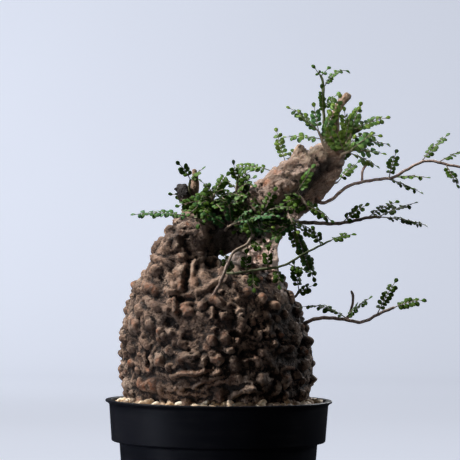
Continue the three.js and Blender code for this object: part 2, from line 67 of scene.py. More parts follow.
Array = np.ndarray
Colour = tuple[float, float, float]
Point = tuple[float, float, float]
Pair = tuple[float, float]
Material = bpy.types.Material
Piece = bpy.types.Object
Socket = bpy.types.NodeSocket

MM = 0.001
TURN = 2 * np.pi
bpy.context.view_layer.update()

# The draws' sine: its steps from item to item and stream to stream, and its steepness
ITEM_STEP = 12.9898
STREAM_STEP = 78.233
STEEPNESS = 43758.5453

# The noise's grid: item steps along x, y and z, and its shift from seed to seed
GRID_STEPS = (1.0, 57.0, 113.0)
SEED_SHIFT = 31.7

# A dome: power of its round part, shares of its round part and skirt, and reach of the skirt
DOME_POWER = 0.8
ROUND_SHARE = 0.78
SKIRT_SHARE = 0.22
SKIRT_REACH = 1.6

# Steps that a curve's span is worked out in, before they are made even
SPAN_STEPS = 60


# Draws and noise


def scatter(item: Array | float, stream: float) -> Array:
    """Repeatable values from 0 to 1: the fraction of a steep sine, as in the part's source."""
    wave = np.sin(np.asarray(item, float) * ITEM_STEP + stream * STREAM_STEP) * STEEPNESS
    return wave - np.floor(wave)


def noise(points: Array, size: float, seed: float) -> Array:
    """Smooth noise: a draw at each corner of a cubic grid, eased between the eight corners.

    Args:
        points: Rows of x, y, z.
        size: Edge of the grid's cubes.
        seed: Stream of the draws.

    Returns:
        A value between -1 and 1 for each row.
    """
    scaled = points / size + SEED_SHIFT * seed
    cell = np.floor(scaled)
    eased = ease(scaled - cell, 0, 1)
    total = np.zeros(len(points))
    for corner in product((0, 1), repeat=3):
        share = np.prod(np.where(corner, eased, 1 - eased), axis=1)
        total += share * scatter((cell + corner) @ GRID_STEPS, seed)
    return 2 * total - 1


def rough(points: Array, size: float, seed: float, octaves: int = 3) -> Array:
    """Noise in octaves, each half the size and half the height of the one before."""
    return sum(noise(points, size / 2**k, seed + k) / 2**k for k in range(octaves))


def unit(vectors: Array) -> Array:
    """Vectors of length 1 in the same directions."""
    return vectors / np.maximum(np.linalg.norm(vectors, axis=-1, keepdims=True), 1e-9)


def ease(values: Array, low: float, high: float) -> Array:
    """A smooth step from 0 at low to 1 at high."""
    share = np.clip((values - low) / (high - low), 0, 1)
    return share * share * (3 - 2 * share)


def turns(count: int) -> Array:
    """Angles at even steps of a full turn, from 0."""
    return np.arange(count) / count * TURN


def distances(points: Array, places: Array) -> Array:
    """Distance from each point to each place."""
    return np.linalg.norm(points[:, None] - places[None], axis=2)


def nearness(points: Array, place: Point, near: float, far: float) -> Array:
    """1 for points nearer to a place than one distance, falling to 0 at another."""
    return 1 - ease(np.linalg.norm(points - place, axis=1), near, far)


def dome(gaps: Array, narrow: float = 1) -> Array:
    """Height of a dome at shares of its radius: a power of 1 minus the squared share, and a skirt."""
    round_part = np.clip(1 - (narrow * gaps) ** 2, 0, 1) ** DOME_POWER
    return ROUND_SHARE * round_part + SKIRT_SHARE * ease(SKIRT_REACH - gaps, 0, SKIRT_REACH)


# Surfaces


@dataclass(frozen=True)
class Surface:
    """Points, the faces between them, and marks: named values kept at the points for a material."""

    points: Array
    faces: tuple[Array, ...]
    marks: dict[str, Array] = field(default_factory=dict)
    material: int = 0


def grid_faces(rows: int, columns: int) -> Array:
    """Four-sided faces of a grid of points, numbered ring by ring.

    Args:
        rows: Number of rings.
        columns: Number of points in a ring.

    Returns:
        Rows of four point numbers.
    """
    row, column = np.meshgrid(np.arange(rows - 1), np.arange(columns), indexing="ij")
    after = (column + 1) % columns
    low, high = row * columns, (row + 1) * columns
    return np.stack([low + column, low + after, high + after, high + column], -1).reshape(-1, 4)


def closed_grid(rings: Array, marks: dict[str, Array] | None = None, material: int = 0) -> Surface:
    """A closed surface from rings of points, with a fan to a point in the middle of each end.

    Args:
        rings: Points of shape rows, columns, 3.
        marks: Values for each row.
        material: Number of the material.

    Returns:
        The surface, its faces outwards where the rings run anticlockwise seen from the far end.
    """
    rows, columns = rings.shape[:2]
    ends = np.stack([rings[0].mean(0), rings[-1].mean(0)])
    column = np.arange(columns)
    after = (column + 1) % columns
    start = np.stack([np.full(columns, rows * columns), after, column], -1)
    last = (rows - 1) * columns
    finish = np.stack([np.full(columns, rows * columns + 1), last + column, last + after], -1)
    point_marks = {
        name: np.concatenate([np.repeat(values, columns), values[[0, -1]]])
        for name, values in (marks or {}).items()
    }
    points = np.concatenate([rings.reshape(-1, 3), ends])
    return Surface(points, (grid_faces(rows, columns), start, finish), point_marks, material)


def lathe(profile: Array, columns: int) -> Surface:
    """A half section, rows of radius and height, turned round z and closed at its two ends."""
    turn = turns(columns)
    return closed_grid(np.stack([
        profile[:, :1] * np.cos(turn), profile[:, :1] * np.sin(turn),
        np.repeat(profile[:, 1:], columns, 1),
    ], -1))


def mesh_from(name: str, surfaces: list[Surface]) -> bpy.types.Mesh:
    """Joins surfaces in one smooth mesh in metres, with their marks as point attributes.

    Args:
        name: Name of the mesh.
        surfaces: The surfaces, in millimetres.

    Returns:
        The mesh.
    """
    points, corners, sizes, materials = [], [], [], []
    count = 0
    for surface in surfaces:
        points.append(surface.points)
        for faces in surface.faces:
            corners.append(faces.ravel() + count)
            sizes.append(np.full(len(faces), faces.shape[1]))
            materials.append(np.full(len(faces), surface.material))
        count += len(surface.points)
    corners, sizes = np.concatenate(corners), np.concatenate(sizes)
    mesh = bpy.data.meshes.new(name)
    mesh.vertices.add(count)
    mesh.vertices.foreach_set("co", (np.concatenate(points) * MM).ravel())
    mesh.loops.add(len(corners))
    mesh.loops.foreach_set("vertex_index", corners.astype(np.int32))
    mesh.polygons.add(len(sizes))
    mesh.polygons.foreach_set("loop_start", (np.cumsum(sizes) - sizes).astype(np.int32))
    mesh.update(calc_edges=True)
    mesh.polygons.foreach_set("material_index", np.concatenate(materials).astype(np.int32))
    mesh.polygons.foreach_set("use_smooth", np.ones(len(sizes), bool))
    for mark in sorted({mark for surface in surfaces for mark in surface.marks}):
        values = [s.marks.get(mark, np.zeros(len(s.points))) for s in surfaces]
        layer = mesh.attributes.new(mark, "FLOAT", "POINT")
        layer.data.foreach_set("value", np.concatenate(values).astype(np.float32))
    mesh.validate()
    return mesh


def surface_of(mesh: bpy.types.Mesh) -> Surface:
    """Points and four-sided faces of a mesh of quads, in millimetres.

    Args:
        mesh: A mesh in metres with only four-sided faces.

    Returns:
        The surface.
    """
    points = np.empty(3 * len(mesh.vertices), np.float32)
    mesh.vertices.foreach_get("co", points)
    corners = np.empty(len(mesh.loops), np.int32)
    mesh.loops.foreach_get("vertex_index", corners)
    return Surface(points.reshape(-1, 3).astype(float) / MM, (corners.reshape(-1, 4),))


def normals_of(surface: Surface) -> Array:
    """Unit normals at the points: the sum of the cross products of the faces' diagonals.

    Args:
        surface: The surface.

    Returns:
        A normal for each point.
    """
    total = np.zeros_like(surface.points)
    for faces in surface.faces:
        corners = surface.points[faces]
        cross = np.cross(corners[:, 2] - corners[:, 0], corners[:, -1] - corners[:, 1])
        for column in range(faces.shape[1]):
            for axis in range(3):
                total[:, axis] += np.bincount(faces[:, column], cross[:, axis], len(total))
    return unit(total)


def softened(points: Array, faces: Array, rounds: int) -> Array:
    """Points drawn half way to the mean of their neighbours, a number of times.

    Args:
        points: The points.
        faces: Four-sided faces, whose edges join the neighbours.
        rounds: Number of times.

    Returns:
        The moved points.
    """
    pairs = np.concatenate([faces[:, [k, (k + 1) % 4]] for k in range(4)])
    ends = np.concatenate([pairs, pairs[:, ::-1]])
    weight = np.bincount(ends[:, 0], minlength=len(points))[:, None]
    for _ in range(rounds):
        near = points[ends[:, 1]]
        mean = np.stack([np.bincount(ends[:, 0], near[:, k], len(points)) for k in range(3)], -1)
        points = 0.5 * (points + mean / weight)
    return points


def add_object(name: str, data: bpy.types.ID) -> Piece:
    """Adds an object that shows a mesh, a light or a camera to the scene."""
    thing = bpy.data.objects.new(name, data)
    bpy.context.scene.collection.objects.link(thing)
    return thing


def bake_modifiers(piece: Piece) -> None:
    """Makes a piece's modified mesh its own mesh and drops the modifiers."""
    graph = bpy.context.evaluated_depsgraph_get()
    mesh = bpy.data.meshes.new_from_object(piece.evaluated_get(graph))
    piece.modifiers.clear()
    piece.data = mesh


def add_piece(
    name: str, surfaces: list[Surface], materials: list[Material], node: str
) -> Piece:
    """Adds a piece that stands for a CAD node, and reports it.

    Args:
        name: Name of the piece.
        surfaces: Its surfaces, each with the number of its material.
        materials: Its materials.
        node: The CAD node that it stands for.

    Returns:
        The piece's object.
    """
    mesh = mesh_from(name, surfaces)
    for material in materials:
        mesh.materials.append(material)
    piece = add_object(name, mesh)
    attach(piece, "root")
    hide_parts(node)
    logger.info("%s: %d faces, for node %s", name, len(mesh.polygons), node)
    return piece


# Curves


@dataclass(frozen=True)
class Line:
    """A framed curve at even steps along its length."""

    middle: Array
    tangent: Array
    normal: Array
    length: float

    @property
    def binormal(self) -> Array:
        """The third direction of each frame."""
        return np.cross(self.tangent, self.normal)

    def at(self, shares: Array) -> "Line":
        """The curve at some shares of its length.

        Args:
            shares: Values between 0 and 1.

        Returns:
            The frames there.
        """
        steps = np.linspace(0, 1, len(self.middle))
        parts = [
            np.stack([np.interp(shares, steps, values[:, k]) for k in range(3)], -1)
            for values in (self.middle, self.tangent, self.normal)
        ]
        return Line(parts[0], unit(parts[1]), unit(parts[2]), self.length)


def curve(points: tuple, steps: int = 120) -> Line:
    """The smooth curve through some points, as the part's source has it.

    Each span is a cubic whose end slopes come from the neighbours, with the square roots of the
    distances as the knots. The frames turn as little as they can from one step to the next.

    Args:
        points: The points.
        steps: Number of even steps.

    Returns:
        The framed curve.
    """
    through = np.array(points, float)
    knots = np.vstack([2 * through[0] - through[1], through, 2 * through[-1] - through[-2]])
    spans = len(through) - 1
    place = np.linspace(0, spans, SPAN_STEPS * spans + 1)
    index = np.minimum(place.astype(int), spans - 1)
    share = (place - index)[:, None]
    before, start, end, after = (knots[index + k] for k in range(4))
    gaps = [
        np.linalg.norm(b - a, axis=1)[:, None] ** 0.5
        for a, b in ((before, start), (start, end), (end, after))
    ]
    leave = (start - before) / gaps[0] - (end - before) / (gaps[0] + gaps[1]) + (end - start) / gaps[1]
    arrive = (end - start) / gaps[1] - (after - start) / (gaps[1] + gaps[2]) + (after - end) / gaps[2]
    leave, arrive = leave * gaps[1], arrive * gaps[1]
    fine = (
        start + leave * share + (3 * (end - start) - 2 * leave - arrive) * share**2
        + (2 * (start - end) + leave + arrive) * share**3
    )
    run = np.concatenate([[0], np.cumsum(np.linalg.norm(np.diff(fine, axis=0), axis=1))])
    even = np.linspace(0, run[-1], steps + 1)
    middle = np.stack([np.interp(even, run, fine[:, k]) for k in range(3)], -1)
    tangent = unit(np.gradient(middle, axis=0))
    first = np.zeros(3)
    first[np.argmin(np.abs(tangent[0]))] = 1
    normal = [np.cross(tangent[0], unit(np.cross(tangent[0], first)))]
    for here in tangent[1:]:
        normal.append(unit(normal[-1] - here * (normal[-1] @ here)))
    return Line(middle, tangent, np.array(normal), float(run[-1]))


def tube(
    line: Line, radii: Array, columns: int, marks: dict[str, Array] | None = None, material: int = 0
) -> Surface:
    """A closed tube: each ring is the middle plus a radius times the cosine and sine of a turn.

    Args:
        line: The middle line.
        radii: A radius for each of its steps.
        columns: Points in a ring.
        marks: Values for each step.
        material: Number of the material.

    Returns:
        The tube's surface.
    """
    turn = turns(columns)
    across = (
        line.normal[:, None] * np.cos(turn)[None, :, None]
        + line.binormal[:, None] * np.sin(turn)[None, :, None]
    )
    return closed_grid(line.middle[:, None] + radii[:, None, None] * across, marks, material)


def branch(path: tuple, radii: tuple, steps: int, columns: int, skin: float = 0) -> Surface:
    """A closed tube along a path, whose radius runs through evenly placed values, plus a skin."""
    return tube(curve(path, steps), spread(radii, steps + 1) + skin, columns)


def spread(values: tuple, count: int) -> Array:
    """Evenly placed values made into a number of them, by straight lines between."""
    return np.interp(np.linspace(0, 1, count), np.linspace(0, 1, len(values)), values)


# Materials


class Nodes:
    """A material's node tree, with a short method for each node that this object uses."""

    def __init__(self, name: str) -> None:
        """Starts a material with only its shader and output."""
        self.material = bpy.data.materials.new(name)
        self.material.use_nodes = True
        self.tree = self.material.node_tree
        self.shader = self.tree.nodes["Principled BSDF"]
        self.place = self.add("ShaderNodeTexCoord").outputs["Object"]

    def add(self, kind: str, **settings: object) -> bpy.types.Node:
        """Adds a node of a kind, with its settings.

        Args:
            kind: Type name of the node.
            settings: Properties of the node.

        Returns:
            The node.
        """
        node = self.tree.nodes.new(kind)
        for key, value in settings.items():
            setattr(node, key, value)
        return node

    def put(self, socket: Socket, value: object) -> None:
        """Links a socket to another, or gives it a plain value.

        Args:
            socket: The input.
            value: An output socket, a number or a colour.
        """
        if isinstance(value, Socket):
            self.tree.links.new(value, socket)
        elif isinstance(value, tuple) and len(value) == 3 and socket.type == "RGBA":
            socket.default_value = (*value, 1)
        else:
            socket.default_value = value

    def mark(self, name: str) -> Socket:
        """The value that the mesh keeps at its points under a name."""
        return self.add("ShaderNodeAttribute", attribute_name=name).outputs["Fac"]

    def grain(self, size: float, detail: float = 4, stretch: Point = (1, 1, 1), lean: float = 0) -> Socket:
        """Noise with features of a size in millimetres.

        Args:
            size: Size of the features.
            detail: Octaves of finer noise.
            stretch: Scale of the pattern along x, y and z.
            lean: Degrees that the pattern's x leans up from level.

        Returns:
            The noise's value, about 0.3 to 0.7.
        """
        leaning = self.add("ShaderNodeMapping")
        self.put(leaning.inputs["Vector"], self.place)
        leaning.inputs["Rotation"].default_value = (0, np.radians(lean), 0)
        mapping = self.add("ShaderNodeMapping")
        self.put(mapping.inputs["Vector"], leaning.outputs["Vector"])
        mapping.inputs["Scale"].default_value = stretch
        node = self.add("ShaderNodeTexNoise")
        self.put(node.inputs["Vector"], mapping.outputs["Vector"])
        node.inputs["Scale"].default_value = 1 / (size * MM)
        node.inputs["Detail"].default_value = detail
        return node.outputs["Fac"]

    def cracks(self, size: float) -> Socket:
        """Distance to the edges of cells of a size in millimetres, for cracks between plates."""
        node = self.add("ShaderNodeTexVoronoi", feature="DISTANCE_TO_EDGE")
        self.put(node.inputs["Vector"], self.place)
        node.inputs["Scale"].default_value = 1 / (size * MM)
        return node.outputs["Distance"]

    def sum(self, kind: str, first: object, second: object) -> Socket:
        """The result of a Math node of a kind on two values."""
        node = self.add("ShaderNodeMath", operation=kind)
        self.put(node.inputs[0], first)
        self.put(node.inputs[1], second)
        return node.outputs[0]

    def fit(self, value: object, low: float, high: float, least: float = 0, most: float = 1) -> Socket:
        """A value brought from one range into another, and kept in it.

        Args:
            value: The value.
            low: Where the first range starts.
            high: Where it ends.
            least: Where the second range starts.
            most: Where it ends.

        Returns:
            The new value.
        """
        node = self.add("ShaderNodeMapRange", clamp=True)
        for name, given in zip(("Value", "From Min", "From Max", "To Min", "To Max"),
                               (value, low, high, least, most)):
            self.put(node.inputs[name], given)
        return node.outputs["Result"]

    def blend(self, share: object, first: object, second: object) -> Socket:
        """Two colours mixed.

        Args:
            share: How much of the second.
            first: The first colour.
            second: The second colour.

        Returns:
            The mixed colour.
        """
        node = self.add("ShaderNodeMix", data_type="RGBA")
        self.put(node.inputs["Factor"], share)
        self.put(node.inputs[6], first)
        self.put(node.inputs[7], second)
        return node.outputs[2]

    def cover(
        self, under: object, over: object, value: object, low: float, high: float, most: float = 1
    ) -> Socket:
        """A colour laid over another, from nothing where a value is low to the most where it is high."""
        return self.blend(self.fit(value, low, high, 0, most), under, over)

    def ramp(self, value: object, stops: tuple[tuple[float, Colour], ...]) -> Socket:
        """A colour picked along a row of colours.

        Args:
            value: Where along the row, from 0 to 1.
            stops: Places and colours.

        Returns:
            The colour.
        """
        node = self.add("ShaderNodeValToRGB")
        while len(node.color_ramp.elements) < len(stops):
            node.color_ramp.elements.new(0.5)
        for element, (place, colour) in zip(node.color_ramp.elements, stops):
            element.position = place
            element.color = (*colour, 1)
        self.put(node.inputs["Fac"], value)
        return node.outputs["Color"]

    def bump(self, height: object, rise: float, under: object = None) -> Socket:
        """A bump of a height in millimetres, over another bump if one is given.

        Args:
            height: The bump's value, from 0 to 1.
            rise: Millimetres from 0 to 1.
            under: The bump below this one.

        Returns:
            The normal.
        """
        node = self.add("ShaderNodeBump")
        node.inputs["Distance"].default_value = rise * MM
        self.put(node.inputs["Height"], height)
        if under is not None:
            self.put(node.inputs["Normal"], under)
        return node.outputs["Normal"]

    def finish(self, colour: object, roughness: object, normal: object, **constants: float) -> Material:
        """Connects the shader.

        Args:
            colour: Base colour.
            roughness: Roughness.
            normal: The normal with its bumps.
            constants: Other inputs of the shader, by name with _ for a space.

        Returns:
            The material.
        """
        self.put(self.shader.inputs["Base Color"], colour)
        self.put(self.shader.inputs["Roughness"], roughness)
        if normal is not None:
            self.put(self.shader.inputs["Normal"], normal)
        for name, value in constants.items():
            self.shader.inputs[name.replace("_", " ").title().replace("Ior", "IOR")].default_value = value
        return self.material


@dataclass(frozen=True)
class BarkFinish:
    """Warted bark: darkened in its creases, partly darker bark and partly painted shade, grey-brown on its
    swells, red-brown on knob tips, pale on limbs.
    """

    # Near black: darker bark and painted shade in the creases, and the painted shade under the front limb
    fold_and_painted_shade: Colour = (0.01, 0.0075, 0.006)
    swell: Colour = (0.035, 0.018, 0.011)
    dust: Colour = (0.25, 0.165, 0.115)
    lichen: Colour = (0.36, 0.27, 0.205)
    tip: Colour = (0.31, 0.125, 0.062)
    dark: Colour = (0.028, 0.015, 0.01)
    pale: Colour = (0.19, 0.143, 0.118)
    # Rear trunk: paler bark, brightened further as painted light
    bare: Colour = (0.4, 0.32, 0.27)
    knot: Colour = (0.11, 0.062, 0.04)
    char: Colour = (0.01, 0.008, 0.008)
    cut: Colour = (0.62, 0.5, 0.38)
    blotch_size: float = 16
    lichen_size: float = 21
    stain_size: float = 12
    tip_size: float = 9
    fleck_size: float = 2.6
    crumb_size: float = 1.1
    plate_size: float = 3.2
    fibre_stretch: Point = (0.28, 1, 1)
    fibre_lean: float = 38

    def material(self) -> Material:
        """Mixes the bark's colours by the marks on the mesh and by grain, with cracks as bumps.

        Returns:
            The material.
        """
        nodes = Nodes("caudex_bark")
        blotch = nodes.grain(self.blotch_size, 5)
        fleck = nodes.grain(self.fleck_size, 6)
        crumb = nodes.grain(self.crumb_size, 4)
        fibre = nodes.grain(self.fleck_size, 5, self.fibre_stretch, self.fibre_lean)
        lichen = nodes.grain(self.lichen_size, 3)
        stain = nodes.grain(self.stain_size, 5)
        # Depth: the relief mark plus fine grain, low in the creases
        depth = nodes.sum("ADD", nodes.mark("relief"), nodes.fit(fleck, 0.38, 0.62, 0.22, -0.3))
        depth = nodes.sum("ADD", depth, nodes.fit(crumb, 0.36, 0.64, 0.16, -0.22))
        # Paler where the skin is raised, darker brown where it lies low, with blotches
        raised_and_blotched = nodes.sum("ADD", depth, nodes.fit(blotch, 0.3, 0.7, -0.35, 0.35))
        dust = nodes.cover(self.dust, self.lichen, lichen, 0.48, 0.6, 0.85)
        dust = nodes.cover(dust, self.dark, stain, 0.5, 0.62, 0.8)
        swell = nodes.cover(self.swell, dust, raised_and_blotched, 0.25, 0.95)
        limb = nodes.cover(self.pale, self.knot, fibre, 0.5, 0.62, 0.85)
        limb = nodes.cover(limb, self.knot, crumb, 0.5, 0.72, 0.5)
        # Painted light: the rear trunk's paler bark made brighter still, with flecks
        bare = nodes.cover(self.bare, self.knot, fleck, 0.5, 0.66, 0.6)
        tips = nodes.cover(self.tip, self.dark, nodes.grain(self.tip_size, 3), 0.46, 0.56)
        warmth = nodes.sum("MULTIPLY", nodes.mark("warm"), nodes.fit(fleck, 0.36, 0.56, 0.1, 1))
        colour = nodes.blend(nodes.mark("pale"), swell, limb)
        colour = nodes.blend(nodes.mark("bare"), colour, bare)
        colour = nodes.blend(warmth, colour, tips)
        # Creases darkened to near black where the depth is low: partly darker bark, partly painted shade
        colour = nodes.cover(self.fold_and_painted_shade, colour, depth, 0, 0.38)
        # The under mark is painted shade: the front limb's downward faces and the fork by it darkened to near
        # black
        for mark, over in (("under", self.fold_and_painted_shade), ("char", self.char), ("cut", self.cut)):
            colour = nodes.blend(nodes.mark(mark), colour, over)
        normal = nodes.bump(fleck, -2.2)
        normal = nodes.bump(nodes.fit(nodes.cracks(self.plate_size), 0, 0.1), 0.16, normal)
        normal = nodes.bump(crumb, -1.3, normal)
        return nodes.finish(colour, nodes.fit(fleck, 0.3, 0.7, 0.6, 0.9), normal, specular_ior_level=0.25)


@dataclass(frozen=True)
class LeafFinish:
    """Small leathery leaflets, deep green to yellow-green, with a paler midrib and a soft gloss, and a
    bluish-green tone on glossy fronds that is painted sheen.
    """

    deep: Colour = (0.012, 0.03, 0.002)
    mature: Colour = (0.042, 0.09, 0.008)
    young: Colour = (0.09, 0.145, 0.02)
    # Painted sheen: the bluish gloss of glossy fronds given as colour
    painted_sheen_teal: Colour = (0.03, 0.11, 0.042)
    vein: Colour = (0.07, 0.12, 0.01)

    def material(self) -> Material:
        """Mixes the greens by each leaf's tone, with blotches, a midrib and fine cells.

        Returns:
            The material.
        """
        nodes = Nodes("leaflet_green")
        blotch, cells, vein = nodes.grain(3, 3), nodes.grain(0.5, 2), nodes.mark("vein")
        # The bluish-green stop is painted sheen
        colour = nodes.ramp(nodes.mark("tone"), (
            (0, self.deep), (0.33, self.mature), (0.7, self.painted_sheen_teal), (1, self.young)))
        colour = nodes.cover(colour, self.deep, blotch, 0.35, 0.7, 0.5)
        colour = nodes.cover(colour, self.vein, vein, 0.8, 1, 0.5)
        normal = nodes.bump(vein, 0.1, nodes.bump(cells, 0.12))
        return nodes.finish(
            colour, nodes.fit(blotch, 0.3, 0.7, 0.45, 0.65), normal, specular_ior_level=0.1)


@dataclass(frozen=True)
class TwigFinish:
    """Young wood: grey-pink bark that turns green where the shoot is soft."""

    bark: Colour = (0.28, 0.195, 0.165)
    dark: Colour = (0.08, 0.05, 0.04)
    green: Colour = (0.04, 0.06, 0.01)

    def material(self) -> Material:
        """Mixes bark and green by the shoot's mark, with fine dark flecks.

        Returns:
            The material.
        """
        nodes = Nodes("twig_bark")
        fleck = nodes.grain(1.4, 4)
        colour = nodes.cover(self.bark, self.dark, fleck, 0.4, 0.68, 0.85)
        colour = nodes.blend(nodes.mark("green"), colour, self.green)
        return nodes.finish(colour, nodes.fit(fleck, 0.3, 0.7, 0.5, 0.75), nodes.bump(fleck, 0.4))


@dataclass(frozen=True)
class StoneFinish:
    """Rounded river gravel in cream, ochre, tan and grey."""

    colours: tuple[Colour, ...] = (
        (0.14, 0.1, 0.07), (0.42, 0.3, 0.19), (0.78, 0.65, 0.48), (0.62, 0.41, 0.22),
        (0.88, 0.8, 0.65), (0.4, 0.36, 0.32),
    )
    mottle: Colour = (0.19, 0.13, 0.08)

    def material(self) -> Material:
        """Picks each stone's colour by its mark and mottles it with grain and mineral specks.

        Returns:
            The material.
        """
        nodes = Nodes("gravel_stone")
        mottle, specks = nodes.grain(1.6, 5), nodes.grain(0.4, 2)
        steps = len(self.colours) - 1
        colour = nodes.ramp(nodes.mark("stone"), tuple(
            (k / steps, colour) for k, colour in enumerate(self.colours)))
        colour = nodes.cover(colour, self.mottle, mottle, 0.45, 0.7, 0.55)
        normal = nodes.bump(specks, 0.12, nodes.bump(mottle, 0.5))
        return nodes.finish(colour, nodes.fit(mottle, 0.3, 0.7, 0.6, 0.85), normal)


@dataclass(frozen=True)
class SoilFinish:
    """Dark potting soil with fine crumbs."""

    dark: Colour = (0.022, 0.014, 0.009)
    light: Colour = (0.12, 0.08, 0.05)

    def material(self) -> Material:
        """Mixes the two soils by grain, with crumbs as bumps.

        Returns:
            The material.
        """
        nodes = Nodes("potting_soil")
        crumb = nodes.grain(3, 6)
        colour = nodes.cover(self.dark, self.light, crumb, 0.4, 0.65)
        return nodes.finish(colour, nodes.fit(crumb, 0.3, 0.7, 0.85, 1), nodes.bump(crumb, 1.5))


@dataclass(frozen=True)
class PlasticFinish:
    """Black injection-moulded plastic, satin, with dust under the lip and fine scuffs."""

    black: Colour = (0.008, 0.0085, 0.0115)
    dust: Colour = (0.03, 0.029, 0.03)

    def material(self) -> Material:
        """Mixes black and dust by grain, with a faint orange-peel bump and level scuffs.

        Returns:
            The material.
        """
        nodes = Nodes("pot_plastic")
        cloud, peel = nodes.grain(22, 4), nodes.grain(1.1, 2)
        scuff = nodes.grain(3.5, 3, (0.12, 0.12, 1))
        wear = nodes.sum("MULTIPLY", nodes.fit(cloud, 0.42, 0.75, 0, 0.5), nodes.fit(scuff, 0.4, 0.75))
        colour = nodes.blend(wear, self.black, self.dust)
        normal = nodes.bump(scuff, 0.03, nodes.bump(peel, 0.035))
        return nodes.finish(
            colour, nodes.fit(cloud, 0.3, 0.7, 0.32, 0.44), normal, specular_ior_level=0.06)


@dataclass(frozen=True)
class StageFinish:
    """Matt paper for the room, with a glow of its own."""

    colour: Colour = (0.675, 0.715, 0.82)
    glow: float = 0.63

    def material(self) -> Material:
        """One matt paper colour with the faintest grain.

        Returns:
            The material.
        """
        nodes = Nodes("stage_paper")
        shaded = tuple(0.97 * part for part in self.colour)
        shade = nodes.cover(self.colour, shaded, nodes.grain(400, 1), 0.3, 0.7)
        nodes.put(nodes.shader.inputs["Emission Color"], self.colour)
        return nodes.finish(shade, 0.95, None, emission_strength=self.glow)


# Pot


@dataclass
class Pot:
    """The round pot: a tapered body, a deep collar and a thin flared lip."""

    height: float = 125
    rim_radius: float = 75
    lip_drop: float = 2.5
    collar_radius: float = 72.5
    collar_foot_radius: float = 70.7
    collar_height: float = 27
    body_radius: float = 65.5
    foot_radius: float = 57.5
    wall: float = 2
    floor: float = 3.5
    drain_count: int = 5
    drain_radius: float = 4.5
    drain_circle: float = 38
    groove_insets: tuple = (6, 5, 2.5, 1.5)
    groove_rise: float = 1.2
    lip_edge: float = 1.3
    lip_ledge: float = 0.4
    segments: int = 192
    fillet_steps: int = 6

    def profile(self) -> Array:
        """The pot's half section, each corner rounded by a parabola between two tangent points.

        Returns:
            Rows of radius and height, from the middle of the foot round to the middle of the floor.
        """
        wall, collar_foot = self.wall, self.height - self.collar_height
        groove = [self.foot_radius - inset for inset in self.groove_insets]
        corners = np.array([
            (0, 0, 0), (groove[0], 0, 1), (groove[1], self.groove_rise, 0.6),
            (groove[2], self.groove_rise, 0.6), (groove[3], 0, 0.5),
            (self.foot_radius, 0, 0.9), (self.body_radius, collar_foot - 1, 1.2),
            (self.collar_foot_radius, collar_foot, 0.7),
            (self.collar_radius, self.height - self.lip_drop, 1.5),
            (self.rim_radius, self.height - self.lip_edge, 0.5), (self.rim_radius, self.height, 0.55),
            (self.collar_radius - wall + self.lip_ledge, self.height, 0.5),
            (self.collar_foot_radius - wall, collar_foot + wall, 1),
            (self.body_radius - wall, collar_foot, 1), (self.foot_radius - wall, self.floor, 1.5),
            (0, self.floor, 0),
        ])
        places, fillets = corners[:, :2], corners[1:-1, 2:]
        back = unit(places[:-2] - places[1:-1])
        forth = unit(places[2:] - places[1:-1])
        share = np.linspace(0, 1, self.fillet_steps)[None, :, None]
        middle = places[1:-1, None]
        start, end = middle + (back * fillets)[:, None], middle + (forth * fillets)[:, None]
        bends = (1 - share) ** 2 * start + 2 * share * (1 - share) * middle + share**2 * end
        return bends.reshape(-1, 2)

    def drills(self) -> list[Surface]:
        """Upright cylinders that cut the drain holes.

        Returns:
            A closed cylinder for each hole.
        """
        line = curve(((0, 0, -self.floor), (0, 0, 3 * self.floor)), 1)
        hole = tube(line, np.full(2, self.drain_radius), 32)
        places = [
            (self.drain_circle * np.cos(turn), self.drain_circle * np.sin(turn), 0)
            for turn in turns(self.drain_count)
        ]
        return [Surface(hole.points + place, hole.faces) for place in places]

    def build(self) -> None:
        """Adds the pot, its profile turned round the axis, with its drain holes cut."""
        shell = lathe(self.profile(), self.segments)
        piece = add_piece("plastic_pot", [shell], [PlasticFinish().material()], "pot")
        drill = add_object("drills", mesh_from("drills", self.drills()))
        cut = piece.modifiers.new("drains", "BOOLEAN")
        cut.operation, cut.object, cut.solver = "DIFFERENCE", drill, "EXACT"
        bake_modifiers(piece)
        bpy.data.objects.remove(drill)


# Caudex


@dataclass(frozen=True)
class Limb:
    """A trunk or limb: middle line, radii, warts in a ring and their height, paleness and fluting."""

    path: tuple
    radii: tuple
    columns: int
    wart: float
    pale: float
    fluting: float


# Distance in or out of the skin past which a relief's line has no effect
RELIEF_DEPTH = 9


@dataclass(frozen=True)
class Relief:
    """A knob, ridge or groove that stands out on the front: its line, radius, rise, warmth and paleness.

    A negative rise makes a groove, and a negative warmth a smooth strip without warts.
    """

    path: tuple
    radius: float
    rise: float
    warm: float
    pale: float

    def gaps(self, points: Array, normals: Array) -> Array:
        """Distance from points to the line, measured along the skin, as a share of the radius.

        Args:
            points: Points of the skin.
            normals: Their normals.

        Returns:
            A share for each point, large where the line is far in or out of the skin.
        """
        stops = np.array(self.path if len(self.path) > 1 else self.path * 2, float)
        best = np.full(len(points), np.inf)
        for start, end in zip(stops[:-1], stops[1:]):
            step = end - start
            run = np.clip((points - start) @ step / max(step @ step, 1e-9), 0, 1)
            offset = points - start - run[:, None] * step
            depth = np.sum(offset * normals, axis=1)
            level = np.linalg.norm(offset - depth[:, None] * normals, axis=1)
            best = np.minimum(best, np.where(np.abs(depth) < RELIEF_DEPTH, level, np.inf))
        return best / self.radius


